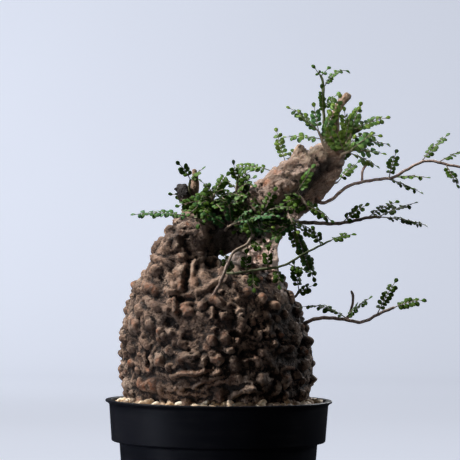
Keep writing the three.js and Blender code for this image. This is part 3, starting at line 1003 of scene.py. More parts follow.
# Round knobs and pits seen from the front: x, y, z, radius, rise, warmth and paleness
KNOBS = (
    (-4.5, -58, 166, 3.8, 3.5, 0.3, 0.3), (-8, -58, 161.5, 2.9, 2.5, 0.2, 0.2),
    (-4.5, -59.5, 158.5, 2.5, 2.2, 0.2, 0.2), (-9, -59.5, 152, 3.2, 2.8, 0.1, 0.2),
    (5, -57, 168, 3.8, 3.5, 0.25, 0.2), (12, -54.5, 166, 2.2, 2, 0.1, 0.2),
    (-11, -49.5, 188.5, 3.2, 3, 0.4, 0.3), (1.5, -56.5, 131.5, 3.5, 3.5, 0.2, 0.2),
    (-39.5, -48, 153, 3.5, 4, 0.6, 0.5), (-45, -40.5, 175, 4.2, 3.5, 0.1, 0),
    (-38.5, -46.5, 170, 2.6, 2.6, 0.7, 0.5), (-36, -47, 167, 1.9, 2, 0.1, 0.3),
    (-47, -41.5, 149.5, 2.2, -2.5, 0, 0), (50, -26.5, 174, 5.2, 2.5, 0, 0.4),
    (49, -29.5, 166.5, 3.2, 3, 0.1, 0.2), (11, -58, 144.5, 3.8, 2.6, 0.2, 0.1),
    (-30, -11.5, 245.5, 2, 3, 0, 0), (-41, -30.5, 209.5, 4.5, 4, 0.35, 0.3),
    (-63.5, -11.5, 176.5, 2.6, 2.5, 0.1, 0.2), (-64, -11.5, 166, 3, 3, 0.1, 0.3),
    (-63.5, -17, 155, 2.9, 3, 0.1, 0.3), (-61.5, -18, 135.5, 3.9, 3.5, 0.1, 0.1),
    (-54, -17.5, 197, 3.9, 3.5, 0, 0.1), (-49.5, -8, 209.5, 3.3, 3.5, 0.1, 0.1),
    (41.5, -2, 207, 3.3, 3.5, 0, 0),
)

# Root ridges, grooves and the smooth strip of the trunk, seen from the front: line, radius, rise,
# warmth and paleness
RIDGES = (
    (((-23.5, -58, 154.5), (-16.5, -59, 156.5)), 4.1, 4, 0.35, 0.5),
    (((14, -51, 181), (14, -51.5, 176)), 2.9, 3, 0.1, 0.3),
    (((-5, -51.5, 185), (-4.5, -53.5, 180)), 1.8, 3, 0, 0.5),
    (((-3, -49.5, 191.5), (0.5, -50, 189.5)), 3.8, 4, 0.5, 0.4),
    (((4, -52, 183.5), (4.5, -52.5, 180)), 3.5, 2.5, 0.1, 0),
    (((-30.5, -53, 143), (-24.5, -58, 144), (-18.5, -59.5, 145), (-12, -62.5, 146),
      (-7.5, -60, 147.5), (-4.5, -59, 149)), 2, 3, 0.3, 0.2),
    (((-16, -56.5, 136.5), (-10.5, -59.5, 139), (-6.5, -58, 140.5),
      (-2, -59.5, 142), (2.5, -58, 142.5)), 1.8, 2.6, 0.15, 0.1),
    (((-8, -58, 137), (-2.5, -57, 138.5), (4, -57, 140), (9.5, -58, 142)), 1.6, 2.2, 0.1, 0.1),
    (((8.5, -57, 129), (12, -58, 132.5), (17, -60, 134.5), (23, -58.5, 135.5)), 2.3, 3.5, 0, 0.3),
    (((28.5, -52.5, 141.5), (31.5, -50.5, 137.5)), 4.8, 4.5, 0.1, 0.8),
    (((-50.5, -35, 136.5), (-43, -43.5, 135.5)), 5.2, 4, 0.6, 0.2),
    (((-59.5, -25.5, 176), (-54.5, -28.5, 174)), 5.9, 4, 0.7, 0.4),
    (((-49.5, -36.5, 165.5), (-46.5, -40, 162)), 3.2, 2.5, 0.1, 0.6),
    (((-48, -28, 199), (-42, -35, 196.5)), 4.5, 4, 0.45, 0.1),
    (((-48, -32, 190.5), (-42, -42, 188), (-34, -46.5, 185)), 2.9, 3, 0.1, 0.7),
    (((-29, -45, 190), (-28, -48.5, 183.5)), 2.2, 3, 0.9, 0.2),
    (((-23.5, -49, 187.5), (-20.5, -50, 183.5)), 3.5, 3, 0.6, 0.3),
    (((-25.5, -45, 192), (-18, -47.5, 191.5)), 1.9, -3, 0, 0),
    (((-32, -47.5, 177), (-27.5, -49.5, 174)), 3.5, -3.5, 0, 0),
    (((39, -42.5, 159), (47, -35.5, 161)), 2.2, 2.5, 0.4, 0.3),
    (((20.5, -53.5, 156.5), (24, -52, 152)), 2.9, 3, 0.2, 0.4),
    (((10, -57, 153), (11, -57, 149.5)), 3.5, 3, 0.1, 0.3),
    (((41, -43, 146.5), (48.5, -35.5, 147.5)), 1.7, 2.2, 0.5, 0.2),
    (((38, -28.5, 193), (43.5, -22.5, 193.5)), 4.5, 2.5, 0, 0.7),
    (((-4, -26, 240), (-4, -33, 222), (-3, -40, 209)), 3.2, -2.6, 0, 0),
    (((1, -14, 214), (1, -14, 222)), 7, -3.6, 0, 0),
    (((-27, -27, 231.5), (-27.5, -31, 225)), 2.9, 3.5, 0.1, 0.1),
    (((-38, -14.5, 228.5), (-41, -15, 224)), 3.3, 4, 0.1, 0.2),
    (((-32, -18.5, 238), (-33.5, -15.5, 235)), 2.3, 3.5, 0, 0),
    (((-42.5, -21.5, 219), (-39, -29, 216.5), (-31.5, -36, 214.5)), 2.3, 3, 0.1, 0.5),
    (((-31.5, -38, 205.5), (-29, -41, 201)), 3.2, 2.5, 0.1, 0.3),
    (((-24, -34, 222), (-26, -37, 212), (-24.5, -42, 199.5)), 3.4, 1.8, 0.35, 0.3),
    (((-17.5, -34, 215.5), (-16.5, -44, 199.5)), 2.6, 1.3, 0.2, 0.2),
    (((-21, -27.5, 232.5), (-20, -35.5, 215.5), (-22, -45, 199)), 2.6, -1.7, 0, 0),
    (((-15, -32, 219), (-13, -45, 199.5)), 2.6, -1, 0, 0),
    (((-11.5, -20, 246), (-11.5, -23, 239.5), (-12, -30.5, 219.5)), 4.6, 2.8, -1, 0.6),
    (((-12.5, -30.5, 216), (-11, -45.5, 199)), 3.2, 1, -1, 0.1),
    (((6, -22, 229), (20, -21, 235), (34, -20, 243)), 6, -3, 0, 0),
    (((-14.5, -46.5, 196.5), (-7.5, -45.5, 199.5), (0.5, -41.5, 204.5)), 2.6, 2, 0, 0.6),
)

RELIEFS = [Relief((row[:3],), *row[3:]) for row in KNOBS] + [Relief(*row) for row in RIDGES]


@dataclass
class Caudex:
    """The swollen warted bulb with its trunks, limbs, stubs and buried foot, as one grown piece."""

    outline: tuple = (
        (58.5, -1.2, 115.5), (61, -1.2, 126), (62.6, -1.1, 138), (63.2, -1.6, 150), (62.4, -2.5, 161),
        (60, -3.5, 174), (57, -4.5, 184), (51.5, -5.6, 197), (46.5, -6, 205), (39, -6, 211),
    )
    crown: tuple = ((18, -4, 214.5), (4, -4, 215.4))
    depth_share: float = 0.9
    rows: int = 22
    columns: int = 60
    bulb_rings: int = 70
    bulb_segments: int = 160
    foot_segments: int = 48
    knobs: tuple = (
        ((-16, -52, 152), 8, 5), ((1, -55, 160), 9, 4), ((18, -54, 139), 8, 5), ((-36, -46, 134), 7, 4),
        ((-26, -50, 139), 7, 4.5), ((-12, -54, 144), 7, 4), ((20, -54, 130), 10, 4),
        ((-54, -22, 208), 6, 4),
    )
    foot_rings: tuple = ((50, 120), (56, 116), (50, 100), (38, 78), (24, 60), (12, 50), (4, 47))
    roots: tuple = (
        (((12, -6, 74), (28, -18, 58), (40, -26, 34)), (10, 7, 3)),
        (((-12, -6, 72), (-30, -13, 52), (-42, -18, 28)), (10, 6, 3)),
        (((0, 12, 70), (4, 34, 52), (6, 44, 30)), (10, 6, 3)),
    )
    limbs: tuple[Limb, ...] = (
        Limb(
            ((-22, -14, 184), (-24.5, -15, 210), (-23, -14, 222), (-21.5, -12, 232), (-20.5, -11, 242),
             (-19.5, -10, 252), (-21.5, -10, 260.5)),
            (36, 28, 22.5, 17, 12, 6.4, 4.6), 18, 2.4, 0.12, 1.3,
        ),
        Limb(
            ((-19, -9, 226), (2, -10, 240), (15, -10, 246), (30, -10, 255.5), (46, -8, 270.5),
             (62, -5, 284), (76, -2, 292)),
            (13, 17, 15.6, 14, 12.4, 9.4, 6.5), 12, 1.3, 0.75, 1.9,
        ),
        Limb(
            ((16, 8, 186), (23, 13, 212), (26, 16, 231), (36.5, 16, 242.5), (51.5, 12, 252.5),
             (64, 9, 263), (71.5, 6, 273), (77.5, 2, 283), (78, 0, 292)),
            (30, 20, 15, 12.4, 9, 6.4, 5.9, 5.8, 5.2), 12, 1, 0.7, 1,
        ),
    )
    stubs: tuple = (
        (((75.5, -1, 291), (75.5, 0, 307), (77, 1, 318.5), (85, 2, 329)), (3.4, 2.7, 2.3, 2.3)),
        (((76.5, -2, 289), (82, -2, 299.5), (93, -3, 307)), (3, 2.2, 1.8)),
        (((47, -8, 276), (51, -8, 289), (53, -8, 294)), (4.5, 3.2, 2.2)),
        (((-18, -10, 258), (-16.8, -10, 270), (-17.6, -10, 278)), (3, 2.2, 0.7)),
        (((-23, -9, 256), (-28, -9, 267.5)), (3, 0.9)),
        (((-22.5, -12, 256), (-24.3, -12, 268)), (3, 0.9)),
    )
    burnt_top: tuple = (
        (((-22, -11, 255), (-24.5, -11, 260), (-25.5, -11, 264.5)), (3.5, 4.6, 3)),
        (((-25, -12, 261), (-29.5, -12, 264), (-31, -12, 263)), (2.4, 1.8, 0.8)),
        (((-23.5, -12, 262), (-20.8, -13, 264.5)), (2.6, 1.2)),
    )
    burnt_tip: Point = (-25.5, -11, 263)
    cut_ends: tuple = (((93, -3, 307), 0.8, 2, 1), ((85, 2, 329), 1.5, 4, 0.4))
    fork: tuple = (
        (-1, -20, 241), (0.5, -23, 235), (3, -24, 230), (10, -23, 231), (20, -21, 235), (34, -20, 243),
    )
    lumps: tuple = (
        (((-3.2, -24, 215.3), (-3.4, -28.5, 215.6)), (4.6, 4.4)),
        (((48, 1, 256), (58, 2, 264), (66, 2, 275)), (5.5, 5.5, 5)),
    )
    limb_skin: float = 0.5
    stub_skin: float = 0.7
    coarse_cube: float = 2.4
    coarse_rounds: int = 10
    fine_cube: float = 0.99
    fine_rounds: int = 5
    chunk: int = 4096
    limb_fade: float = 4.5
    # Reach and side of the painted shade in the fork by the front limb
    fork_reach: Pair = (8, 13)
    fork_side: Pair = (-7, -3.5)
    wrinkle_top: Pair = (150, 185)
    # Heights where the rear trunk's paler bark is brightened as painted light
    painted_lit_bare_start: Pair = (206, 216)
    painted_lit_bare_end: Pair = (244, 254)
    burnt_reach: Pair = (5, 8.5)
    # Strength of the painted shade in the fork
    fork_shade: float = 0.94
    warp_size: float = 8
    warp_seeds: tuple = (31, 41, 51)
    lump_noise: tuple = ((26, 7, 1.6), (9, 61, 0.7), (2.8, 15, 0.3))
    pit_depth: float = 2.6
    relief_rounds: tuple = (12, 60)

    def swell(self, points: Array) -> Array:
        """The rise of the large knobs at some points: a bell curve round each knob."""
        total = np.zeros(len(points))
        for place, reach, rise in self.knobs:
            total += rise * np.exp(-((np.linalg.norm(points - place, axis=1) / reach) ** 2))
        return total

    def bulb_point(self, share: Array, angle: Array, lift: float = 0) -> Array:
        """Points of the bulb: an ellipse whose half width and middle follow the outline.

        Args:
            share: Shares of the outline's length.
            angle: Angles round the axis, as many as the shares.
            lift: Distance outwards, over the knobs' rise.

        Returns:
            Rows of x, y, z.
        """
        line = curve(self.outline, 400).at(share)
        points = self.oval(*line.middle.T, angle)
        slope = line.tangent.T
        outward = unit(np.stack([slope[2] * np.cos(angle), slope[2] * np.sin(angle), -slope[0]], -1))
        return points + outward * (self.swell(points) + lift)[:, None]

    def oval(self, width: Array, middle: Array, height: Array, angle: Array) -> Array:
        """Points of level ovals, by half width, place of the middle along x, height and angle."""
        depth = width * self.depth_share
        return np.stack([middle + width * np.cos(angle), depth * np.sin(angle), height], -1)

    def ovals(self, rows: list[Point], columns: int) -> Array:
        """Rings of level ovals.

        Args:
            rows: Half width, middle and height of each ring.
            columns: Points in a ring.

        Returns:
            Points of shape rings, columns, 3.
        """
        width, middle, height = np.array(rows, float).T[..., None]
        turn = turns(columns)
        return self.oval(width, middle, height + 0 * turn, turn)

    def bulb(self) -> Surface:
        """The bulb without small warts, with rings that close its crown.

        Returns:
            The closed bulb.
        """
        count = self.bulb_segments
        share, angle = np.meshgrid(np.linspace(0, 1, self.bulb_rings), turns(count), indexing="ij")
        rings = self.bulb_point(share.ravel(), angle.ravel()).reshape(-1, count, 3)
        return closed_grid(np.concatenate([rings, self.ovals(self.crown, count)]))

    def foot(self) -> list[Surface]:
        """The buried foot, an upturned cone of rings, and its first thick roots.

        Returns:
            The closed foot and roots.
        """
        rings = self.ovals([(radius, 0, z) for radius, z in reversed(self.foot_rings)], self.foot_segments)
        return [closed_grid(rings), *(branch(path, radii, 24, 14) for path, radii in self.roots)]

    def body(self) -> Surface:
        """The bulb, trunks, limbs and stubs grown into one smooth skin.

        The thick parts are melted together in coarse cubes and smoothed, so that they flow into
        one another, and then once more in fine cubes with the thin stubs.

        Returns:
            The skin, in quads.
        """
        limbs = [branch(limb.path, limb.radii, 120, 48, self.limb_skin) for limb in self.limbs]
        flowing = self.melted([self.bulb(), *limbs], self.coarse_cube, self.coarse_rounds)
        stubs = [branch(path, radii, 40, 16, self.stub_skin) for path, radii in self.stubs]
        knobs = [branch(path, radii, 24, 14) for path, radii in (*self.burnt_top, *self.lumps)]
        return self.melted([flowing, *stubs, *knobs], self.fine_cube, self.fine_rounds)

    def melted(self, surfaces: list[Surface], cube: float, rounds: int) -> Surface:
        """Closed surfaces melted into one skin by a voxel remesh, then smoothed.

        Args:
            surfaces: The closed surfaces, which may cross.
            cube: Size of the cubes.
            rounds: Rounds of smoothing.

        Returns:
            The skin.
        """
        lump = add_object("lump", mesh_from("lump", surfaces))
        remesh = lump.modifiers.new("melt", "REMESH")
        remesh.mode, remesh.voxel_size, remesh.adaptivity = "VOXEL", cube * MM, 0
        bake_modifiers(lump)
        skin = surface_of(lump.data)
        bpy.data.objects.remove(lump)
        return Surface(softened(skin.points, skin.faces[0], rounds), skin.faces)

    def lattice(self, rows: int, columns: int) -> tuple[Array, Array, Array, Array]:
        """A triangular lattice round a limb or the bulb, as in the part's source.

        Args:
            rows: Number of rows.
            columns: Points in a row.

        Returns:
            Row, turn, item number and whether it is a wart's tip, for each point.
        """
        row, column = (part.ravel() for part in np.meshgrid(
            np.arange(rows), np.arange(columns), indexing="ij"))
        turn = (column + 0.5 * (row % 2)) / columns * TURN
        tip = (column - row // 2 - row) % 3 == 0
        return row, turn, row * columns + column, tip

    def bulb_warts(self) -> Array:
        """The bulb's warts on the solid's lattice, large at its tips and small at some points between.

        A draw for each point of the lattice, less a noise that crowds them, says which bear a wart.

        Returns:
            Rows of x, y, z, radius, rise and warmth.
        """
        row, turn, item, tip = self.lattice(self.rows, self.columns)
        crowd = noise(np.column_stack([row, 9 * np.cos(turn), 9 * np.sin(turn)]), 2.5, 71)
        keep = (row >= 1) & (scatter(item, 21) > np.where(tip, 0.3, 0.85) - 0.5 * crowd)
        row, turn, item, tip = row[keep], turn[keep], item[keep], tip[keep]
        share = np.clip((row + 0.5 * (scatter(item, 1) - 0.5)) / (self.rows - 1), 0, 1)
        angle = turn + 0.5 * (scatter(item, 2) - 0.5) * TURN / self.columns
        radius = np.where(tip, 2.2 + 2.9 * scatter(item, 22) ** 1.6, 1.1 + 1.1 * scatter(item, 22))
        rise = radius * (0.7 + 0.5 * scatter(item, 3))
        warmth = np.where(tip, scatter(item, 23) ** 2, 0.3 * scatter(item, 23))
        return np.column_stack([self.bulb_point(share, angle), radius, rise, warmth])

    def limb_warts(self, limb: Limb, seed: int) -> Array:
        """A limb's warts at the tips of the solid's lattice, each moved a little along and round it.

        Args:
            limb: The limb.
            seed: Stream of its draws in the part's source.

        Returns:
            Rows of x, y, z, radius, rise and warmth.
        """
        line = curve(limb.path, 400)
        girth = TURN * sum(limb.radii) / len(limb.radii)
        steps = round(line.length / (girth / limb.columns * 0.9))
        row, turn, item, tip = self.lattice(steps + 1, limb.columns)
        keep = tip & (row > 0) & (row < steps)
        row, turn, item = row[keep], turn[keep], item[keep]
        at = line.at(row / steps)
        angle = turn + 0.5 * (scatter(item, seed) - 0.5) * TURN / limb.columns
        radius = np.interp(row / steps, np.linspace(0, 1, len(limb.radii)), limb.radii)
        slide = 0.5 * (scatter(item, seed + 2) - 0.5) * line.length / steps
        places = (
            at.middle + at.tangent * slide[:, None]
            + at.normal * (radius * np.cos(angle))[:, None]
            + at.binormal * (radius * np.sin(angle))[:, None]
        )
        rise = limb.wart * 1.4 * scatter(item, seed + 1) ** 3
        size = np.clip(radius * 0.28, 1.6, 5) * (0.8 + 0.5 * scatter(item, seed + 3))
        return np.column_stack([places, size, rise, 0.7 * scatter(item, seed + 4) ** 2])

    def closeness(self, points: Array) -> tuple[Array, Array]:
        """How much each point belongs to each limb, and the direction of the nearest limb's grain.

        The share is a bell curve of the distance from the limb's own skin.

        Args:
            points: Points of the skin.

        Returns:
            Shares of shape points, limbs, and unit directions.
        """
        shares, direction = [], np.zeros_like(points)
        best = np.full(len(points), np.inf)
        for limb in self.limbs:
            line = curve(limb.path, 60)
            radii = spread(limb.radii, 61)
            gaps = distances(points, line.middle) - radii
            nearest = np.argmin(gaps, axis=1)
            gap = gaps[np.arange(len(points)), nearest]
            shares.append(np.exp(-((np.maximum(gap, 0) / self.limb_fade) ** 2)))
            closer = gap < best
            direction[closer] = line.tangent[nearest[closer]]
            best = np.minimum(best, gap)
        shares = np.stack(shares, -1)
        return shares / np.maximum(shares.sum(1, keepdims=True), 1), direction

    def painted_fork_shade(self, points: Array) -> Array:
        """Painted shade in the fork by the front limb: how much each point lies there, a smooth step of its
        distance.
        """
        gaps = distances(points, curve(self.fork, 20).middle).min(axis=1)
        shade = self.fork_shade * (1 - ease(gaps, *self.fork_reach))
        return shade * ease(points[:, 0], *self.fork_side)

    def slimness(self, points: Array) -> Array:
        """How much each point belongs to a cut stub or the burnt top: a smooth step of its distance.

        Args:
            points: Points of the skin.

        Returns:
            A share for each point.
        """
        best = np.full(len(points), np.inf)
        for path, radii in (*self.stubs, *self.burnt_top):
            # The first steps of each lie in the wood
            free = curve(path, 20).middle[6:]
            gaps = distances(points, free) - spread(radii, 21)[6:]
            best = np.minimum(best, gaps.min(axis=1))
        return 1 - ease(best, 0.8, 3)

    def domes(self, points: Array, warts: Array) -> tuple[Array, Array]:
        """The highest wart at each point: its rise times the dome's height there.

        Args:
            points: Points of the skin.
            warts: Rows of x, y, z, radius, rise and warmth.

        Returns:
            The height and the warmth at each point.
        """
        height, warmth = np.zeros(len(points)), np.zeros(len(points))
        for start in range(0, len(points), self.chunk):
            part = points[start:start + self.chunk]
            shape = dome(distances(part, warts[:, :3]) / warts[:, 3])
            top = np.argmax(shape * warts[:, 4], axis=1)
            pick = shape[np.arange(len(part)), top]
            height[start:start + self.chunk] = pick * warts[top, 4]
            warmth[start:start + self.chunk] = ease(pick, 0.35, 1) * warts[top, 5]
        return height, warmth

    def skin(self) -> Surface:
        """The finished skin: the body raised by warts, reliefs, fluting and noise, with its marks.

        Returns:
            The skin, with marks for its relief and colours.
        """
        body = self.body()
        points = body.points
        logger.info("caudex body: %d points", len(points))
        normals = normals_of(body)
        limb_share, direction = self.closeness(points)
        on_limb = limb_share.sum(1)
        warts = np.vstack([
            self.bulb_warts(),
            *(self.limb_warts(limb, 10 * (k + 1)) for k, limb in enumerate(self.limbs)),
        ])
        warp = np.stack([rough(points, self.warp_size, seed) for seed in self.warp_seeds], -1)
        height, warmth = self.domes(points + 1.5 * warp, warts)
        pale = limb_share @ [limb.pale for limb in self.limbs]
        bent = points + 1.4 * warp
        height, plain, warmth, pale = self.front(bent, normals, height, warmth, pale)
        fluting = limb_share @ [limb.fluting for limb in self.limbs]
        grain = self.fluted(points, direction, fluting) + self.lumpy(points, bent + 1.6 * warp, on_limb)
        pits = ease(rough(points, 7, 81), 0.55, 0.95) * (1 - on_limb)
        rise = height + grain * (1 - 0.75 * plain) - 0.6 * (1 - on_limb) - self.pit_depth * pits
        slim = self.slimness(points)
        rise = rise * (1 - slim) + 0.35 * slim * rough(points, 2.5, 91)
        lifted = Surface(points + normals * rise[:, None], body.faces)
        marks = self.colour_marks(points, normals, limb_share)
        # The relief mark darkens the bark where the skin lies low: partly darker bark, partly painted shade
        # in the creases
        marks["relief"] = self.relief(lifted, normals, on_limb)
        marks["warm"], marks["pale"] = np.clip(warmth, 0, 1), np.clip(pale, 0, 1)
        return Surface(lifted.points, body.faces, marks)

    def front(
        self, points: Array, normals: Array, height: Array, warmth: Array, pale: Array
    ) -> tuple[Array, Array, Array, Array]:
        """The reliefs of the front, domes round their lines, in place of the warts under them.

        Args:
            points: Points of the skin.
            normals: Their normals.
            height: Height of the warts.
            warmth: Warmth of the warts.
            pale: Paleness of the limbs.

        Returns:
            Height, how much each point lies on a smooth strip, warmth and paleness.
        """
        shown, dented, cover, plain = np.zeros((4, len(points)))
        for relief in RELIEFS:
            gaps = relief.gaps(points, normals)
            shape = dome(gaps, 0.88)
            if relief.rise < 0:
                dented = np.minimum(dented, relief.rise * shape)
            else:
                higher = relief.rise * shape > shown
                shown = np.where(higher, relief.rise * shape, shown)
                warmth = np.where(higher, max(relief.warm, 0) * ease(shape, 0.3, 1), warmth)
                pale = np.maximum(pale, 0.45 * relief.pale * shape)
            cover = np.maximum(cover, np.exp(-(gaps / 1.35) ** 4))
            if relief.warm < 0:
                plain = np.maximum(plain, shape)
        return np.maximum(height * (1 - 0.8 * cover), shown) + dented, plain, warmth, pale

    def fluted(self, points: Array, direction: Array, fluting: Array) -> Array:
        """Flutes along the limbs: creased noise, stretched along the direction of the grain."""
        grained = points - 0.78 * direction * np.sum(points * direction, axis=1)[:, None]
        return fluting * ((1 - np.abs(rough(grained, 9, 5, 2))) * 1.6 - 1)

    def lumpy(self, points: Array, bent: Array, on_limb: Array) -> Array:
        """Lumps, noise of three sizes, and level wrinkles low on the bulb, creased noise.

        Args:
            points: Points of the skin.
            bent: The same points, bent for the wrinkles.
            on_limb: How much each belongs to a limb.

        Returns:
            A rise for each point.
        """
        lumps = sum(rise * rough(points, size, seed, 2) for size, seed, rise in self.lump_noise)
        lumps *= 1 - 0.3 * on_limb
        wrinkles = (1 - np.abs(rough(bent * (0.4, 0.4, 1), 5, 95, 2))) * 1.9 - 1.2
        low = (1 - ease(points[:, 2], *self.wrinkle_top)) * (1 - on_limb)
        return lumps + wrinkles * low

    def relief(self, lifted: Surface, normals: Array, on_limb: Array) -> Array:
        """How far each point stands out, from 0 to 1, against the skin smoothed a little and a lot."""
        near, wide = (
            np.sum((lifted.points - softened(lifted.points, lifted.faces[0], rounds)) * normals, axis=1)
            for rounds in self.relief_rounds
        )
        return np.clip(0.5 + 0.45 * near + 0.2 * wide + 0.12 * on_limb, 0, 1)

    def colour_marks(self, points: Array, normals: Array, limb_share: Array) -> dict[str, Array]:
        """Marks for painted shade, for paler wood brightened further as painted light, and for burnt and cut
        wood.

        Args:
            points: Points of the body.
            normals: Their normals.
            limb_share: How much each belongs to each limb.

        Returns:
            Values from 0 to 1 by the mark's name.
        """
        height = points[:, 2]
        # Painted shade on the front limb's downward faces
        painted_underside_shade = 0.93 * limb_share[:, 1] * ease(-normals[:, 2], -0.02, 0.32)
        cuts = [share * nearness(points, *place) for *place, share in self.cut_ends]
        return {
            # under: painted shade under the front limb and in its fork
            "under": np.maximum(painted_underside_shade, self.painted_fork_shade(points)),
            # Painted light on the rear trunk between two heights, over paler bark
            "bare": limb_share[:, 2] * ease(height, *self.painted_lit_bare_start) * (1 - ease(height, *self.painted_lit_bare_end)),
            "char": nearness(points, self.burnt_tip, *self.burnt_reach),
            "cut": np.maximum(*cuts),
        }

    def build(self) -> None:
        """Adds the caudex."""
        add_piece("caudex_wood", [self.skin(), *self.foot()], [BarkFinish().material()], "caudex")


# Gravel


@dataclass
class Gravel:
    """The dressing of rounded stones between the collar and the caudex, on a bed of grit."""

    caudex: Caudex
    floor: float = 115.35
    top: float = 122.5
    heap: float = 3.5
    outer_radius: float = 69.9
    columns: int = 180
    tries: int = 9000
    seed: int = 11
    edge_share: float = 0.075
    edge_inset: float = 1
    bed_profile: tuple = ((0, None), (0, 3), (0.33, 2.4), (0.66, 2.4), (1.2, 2.4), (1.2, None))
    bed_shade: float = 0.08
    sizes: Pair = (2, 4.6)
    lower_share: float = 0.55
    layer: float = 1.8
    sink: float = 1.6
    closeness: float = 0.66

    def place(self, turn: Array, share: Array) -> Array:
        """Points on the heap, on straight lines from the collar to the bulb.

        Args:
            turn: Angles round the axis.
            share: Shares of the way, 0 at the collar and 1 at the bulb.

        Returns:
            Rows of x, y, z.
        """
        outer = np.stack([np.cos(turn), np.sin(turn), np.zeros(len(turn))], -1) * self.outer_radius
        inner = self.caudex.bulb_point(np.full(len(turn), self.edge_share), turn, -self.edge_inset)
        points = outer + (inner - outer) * share[:, None]
        points[:, 2] = self.top + self.heap * share
        return points

    def bed(self) -> Surface:
        """A closed ring of grit under the stones.

        Returns:
            The ring.
        """
        turn = turns(self.columns)
        rings = []
        for share, drop in self.bed_profile:
            ring = self.place(turn, np.full(self.columns, share))
            ring[:, 2] = self.floor if drop is None else ring[:, 2] - drop + rough(ring, 2.5, 5)
            rings.append(ring)
        points = np.concatenate(rings)
        faces = grid_faces(len(rings) + 1, self.columns) % len(points)
        return Surface(points, (faces,), {"stone": np.full(len(points), self.bed_shade)})

    def thrown(self, draws: np.random.Generator) -> tuple[Array, Array]:
        """Stones thrown on the heap one by one, each kept where it finds room.

        Args:
            draws: Source of the draws.

        Returns:
            Places and sizes of the kept stones.
        """
        turn = draws.uniform(0, TURN, self.tries)
        share = draws.uniform(0.04, 1.0, self.tries)
        size = draws.uniform(*self.sizes, self.tries)
        upper = (np.arange(self.tries) > self.lower_share * self.tries).astype(float)
        places = self.place(turn, share)
        places[:, 2] += upper * self.layer - self.sink
        kept: list[int] = []
        for k in range(self.tries):
            near = np.array(kept, int)
            gaps = np.linalg.norm(places[near] - places[k], axis=1) / (size[near] + size[k])
            inside = np.hypot(*places[k, :2]) + 0.8 * size[k] < self.outer_radius + 0.6
            if inside and np.all(gaps > self.closeness):
                kept.append(k)
        return places[kept], size[kept]

    def stones(self) -> Surface:
        """The rounded stones: balls scaled by three half axes, dented by noise, turned and leant.

        Returns:
            All stones as one surface.
        """
        draws = np.random.default_rng(self.seed)
        places, size = self.thrown(draws)
        count = len(size)
        logger.info("gravel: %d stones", count)
        ball, faces = icosphere()
        number = np.arange(count)[:, None, None]
        axes = np.stack([
            size, size * draws.uniform(0.7, 0.95, count), size * draws.uniform(0.5, 0.8, count),
        ], -1)
        dents = 1 + 0.16 * noise((ball[None] + 9.0 * number).reshape(-1, 3), 0.8, 2)
        shapes = ball[None] * axes[:, None] * dents.reshape(count, -1)[..., None]
        spin, lean = draws.uniform(0, TURN, count), draws.normal(0, 0.35, (count, 2))
        cos, sin = np.cos(spin)[:, None], np.sin(spin)[:, None]
        x, y, z = np.moveaxis(shapes, -1, 0)
        spun = np.stack([x * cos - y * sin, x * sin + y * cos, z + lean[:, :1] * x + lean[:, 1:] * y], -1)
        points = (spun + places[:, None]).reshape(-1, 3)
        shade = np.repeat(draws.uniform(0, 1, count), len(ball))
        return Surface(points, ((faces[None] + len(ball) * number).reshape(-1, 3),), {"stone": shade})

    def build(self) -> None:
        """Adds the gravel."""
        surfaces = [self.bed(), self.stones()]
        add_piece("gravel_stones", surfaces, [StoneFinish().material()], "gravel")


def icosphere() -> tuple[Array, Array]:
    """A ball of 80 triangles: an icosahedron with each face cut in four and pushed out to radius 1.

    Returns:
        Points and faces.
    """
    golden = (1 + 5**0.5) / 2
    points = unit(np.array([
        (-1, golden, 0), (1, golden, 0), (-1, -golden, 0), (1, -golden, 0), (0, -1, golden), (0, 1, golden),
        (0, -1, -golden), (0, 1, -golden), (golden, 0, -1), (golden, 0, 1), (-golden, 0, -1), (-golden, 0, 1),
    ], float))
    faces = np.array([
        (0, 11, 5), (0, 5, 1), (0, 1, 7), (0, 7, 10), (0, 10, 11), (1, 5, 9), (5, 11, 4), (11, 10, 2),
        (10, 7, 6), (7, 1, 8), (3, 9, 4), (3, 4, 2), (3, 2, 6), (3, 6, 8), (3, 8, 9), (4, 9, 5), (2, 4, 11),
        (6, 2, 10), (8, 6, 7), (9, 8, 1),
    ])
    a, b, c = (points[faces[:, k]] for k in range(3))
    corners = np.stack([a, b, c, unit(a + b), unit(b + c), unit(c + a)], 1).reshape(-1, 3)
    cut = np.array([(0, 3, 5), (3, 1, 4), (5, 4, 2), (3, 4, 5)])
    loose = (cut[None] + 6 * np.arange(len(faces))[:, None, None]).reshape(-1, 3)
    unique, number = np.unique(np.round(corners, 6), axis=0, return_inverse=True)
    return unit(unique), number.ravel()[loose]


# Shoots


class AgeAndSheen(Enum):
    """The tone of a shoot's leaves from 0, deep, to 1, yellow-green, by how old they are, with a bluish-green
    tone of painted sheen for glossy fronds.
    """

    OLD = 0.12
    MATURE = 0.32
    # Painted sheen: a bluish-green tone for glossy fronds, no stage of growth
    PAINTED_SHEEN = 0.66
    YOUNG = 0.9


@dataclass(frozen=True)
class Shoot:
    """A stem with its twiglets and leaves.

    A leaf is a share along the stem, its tip and how far its middle bows up. Twins are the smaller
    leaves beside each.
    """

    stem: tuple
    radius: float
    leaves: tuple
    twiglets: tuple = ()
    age: AgeAndSheen = AgeAndSheen.MATURE
    green: float = 0.3
    leaflet: float = 4.6
    twins: int = 0


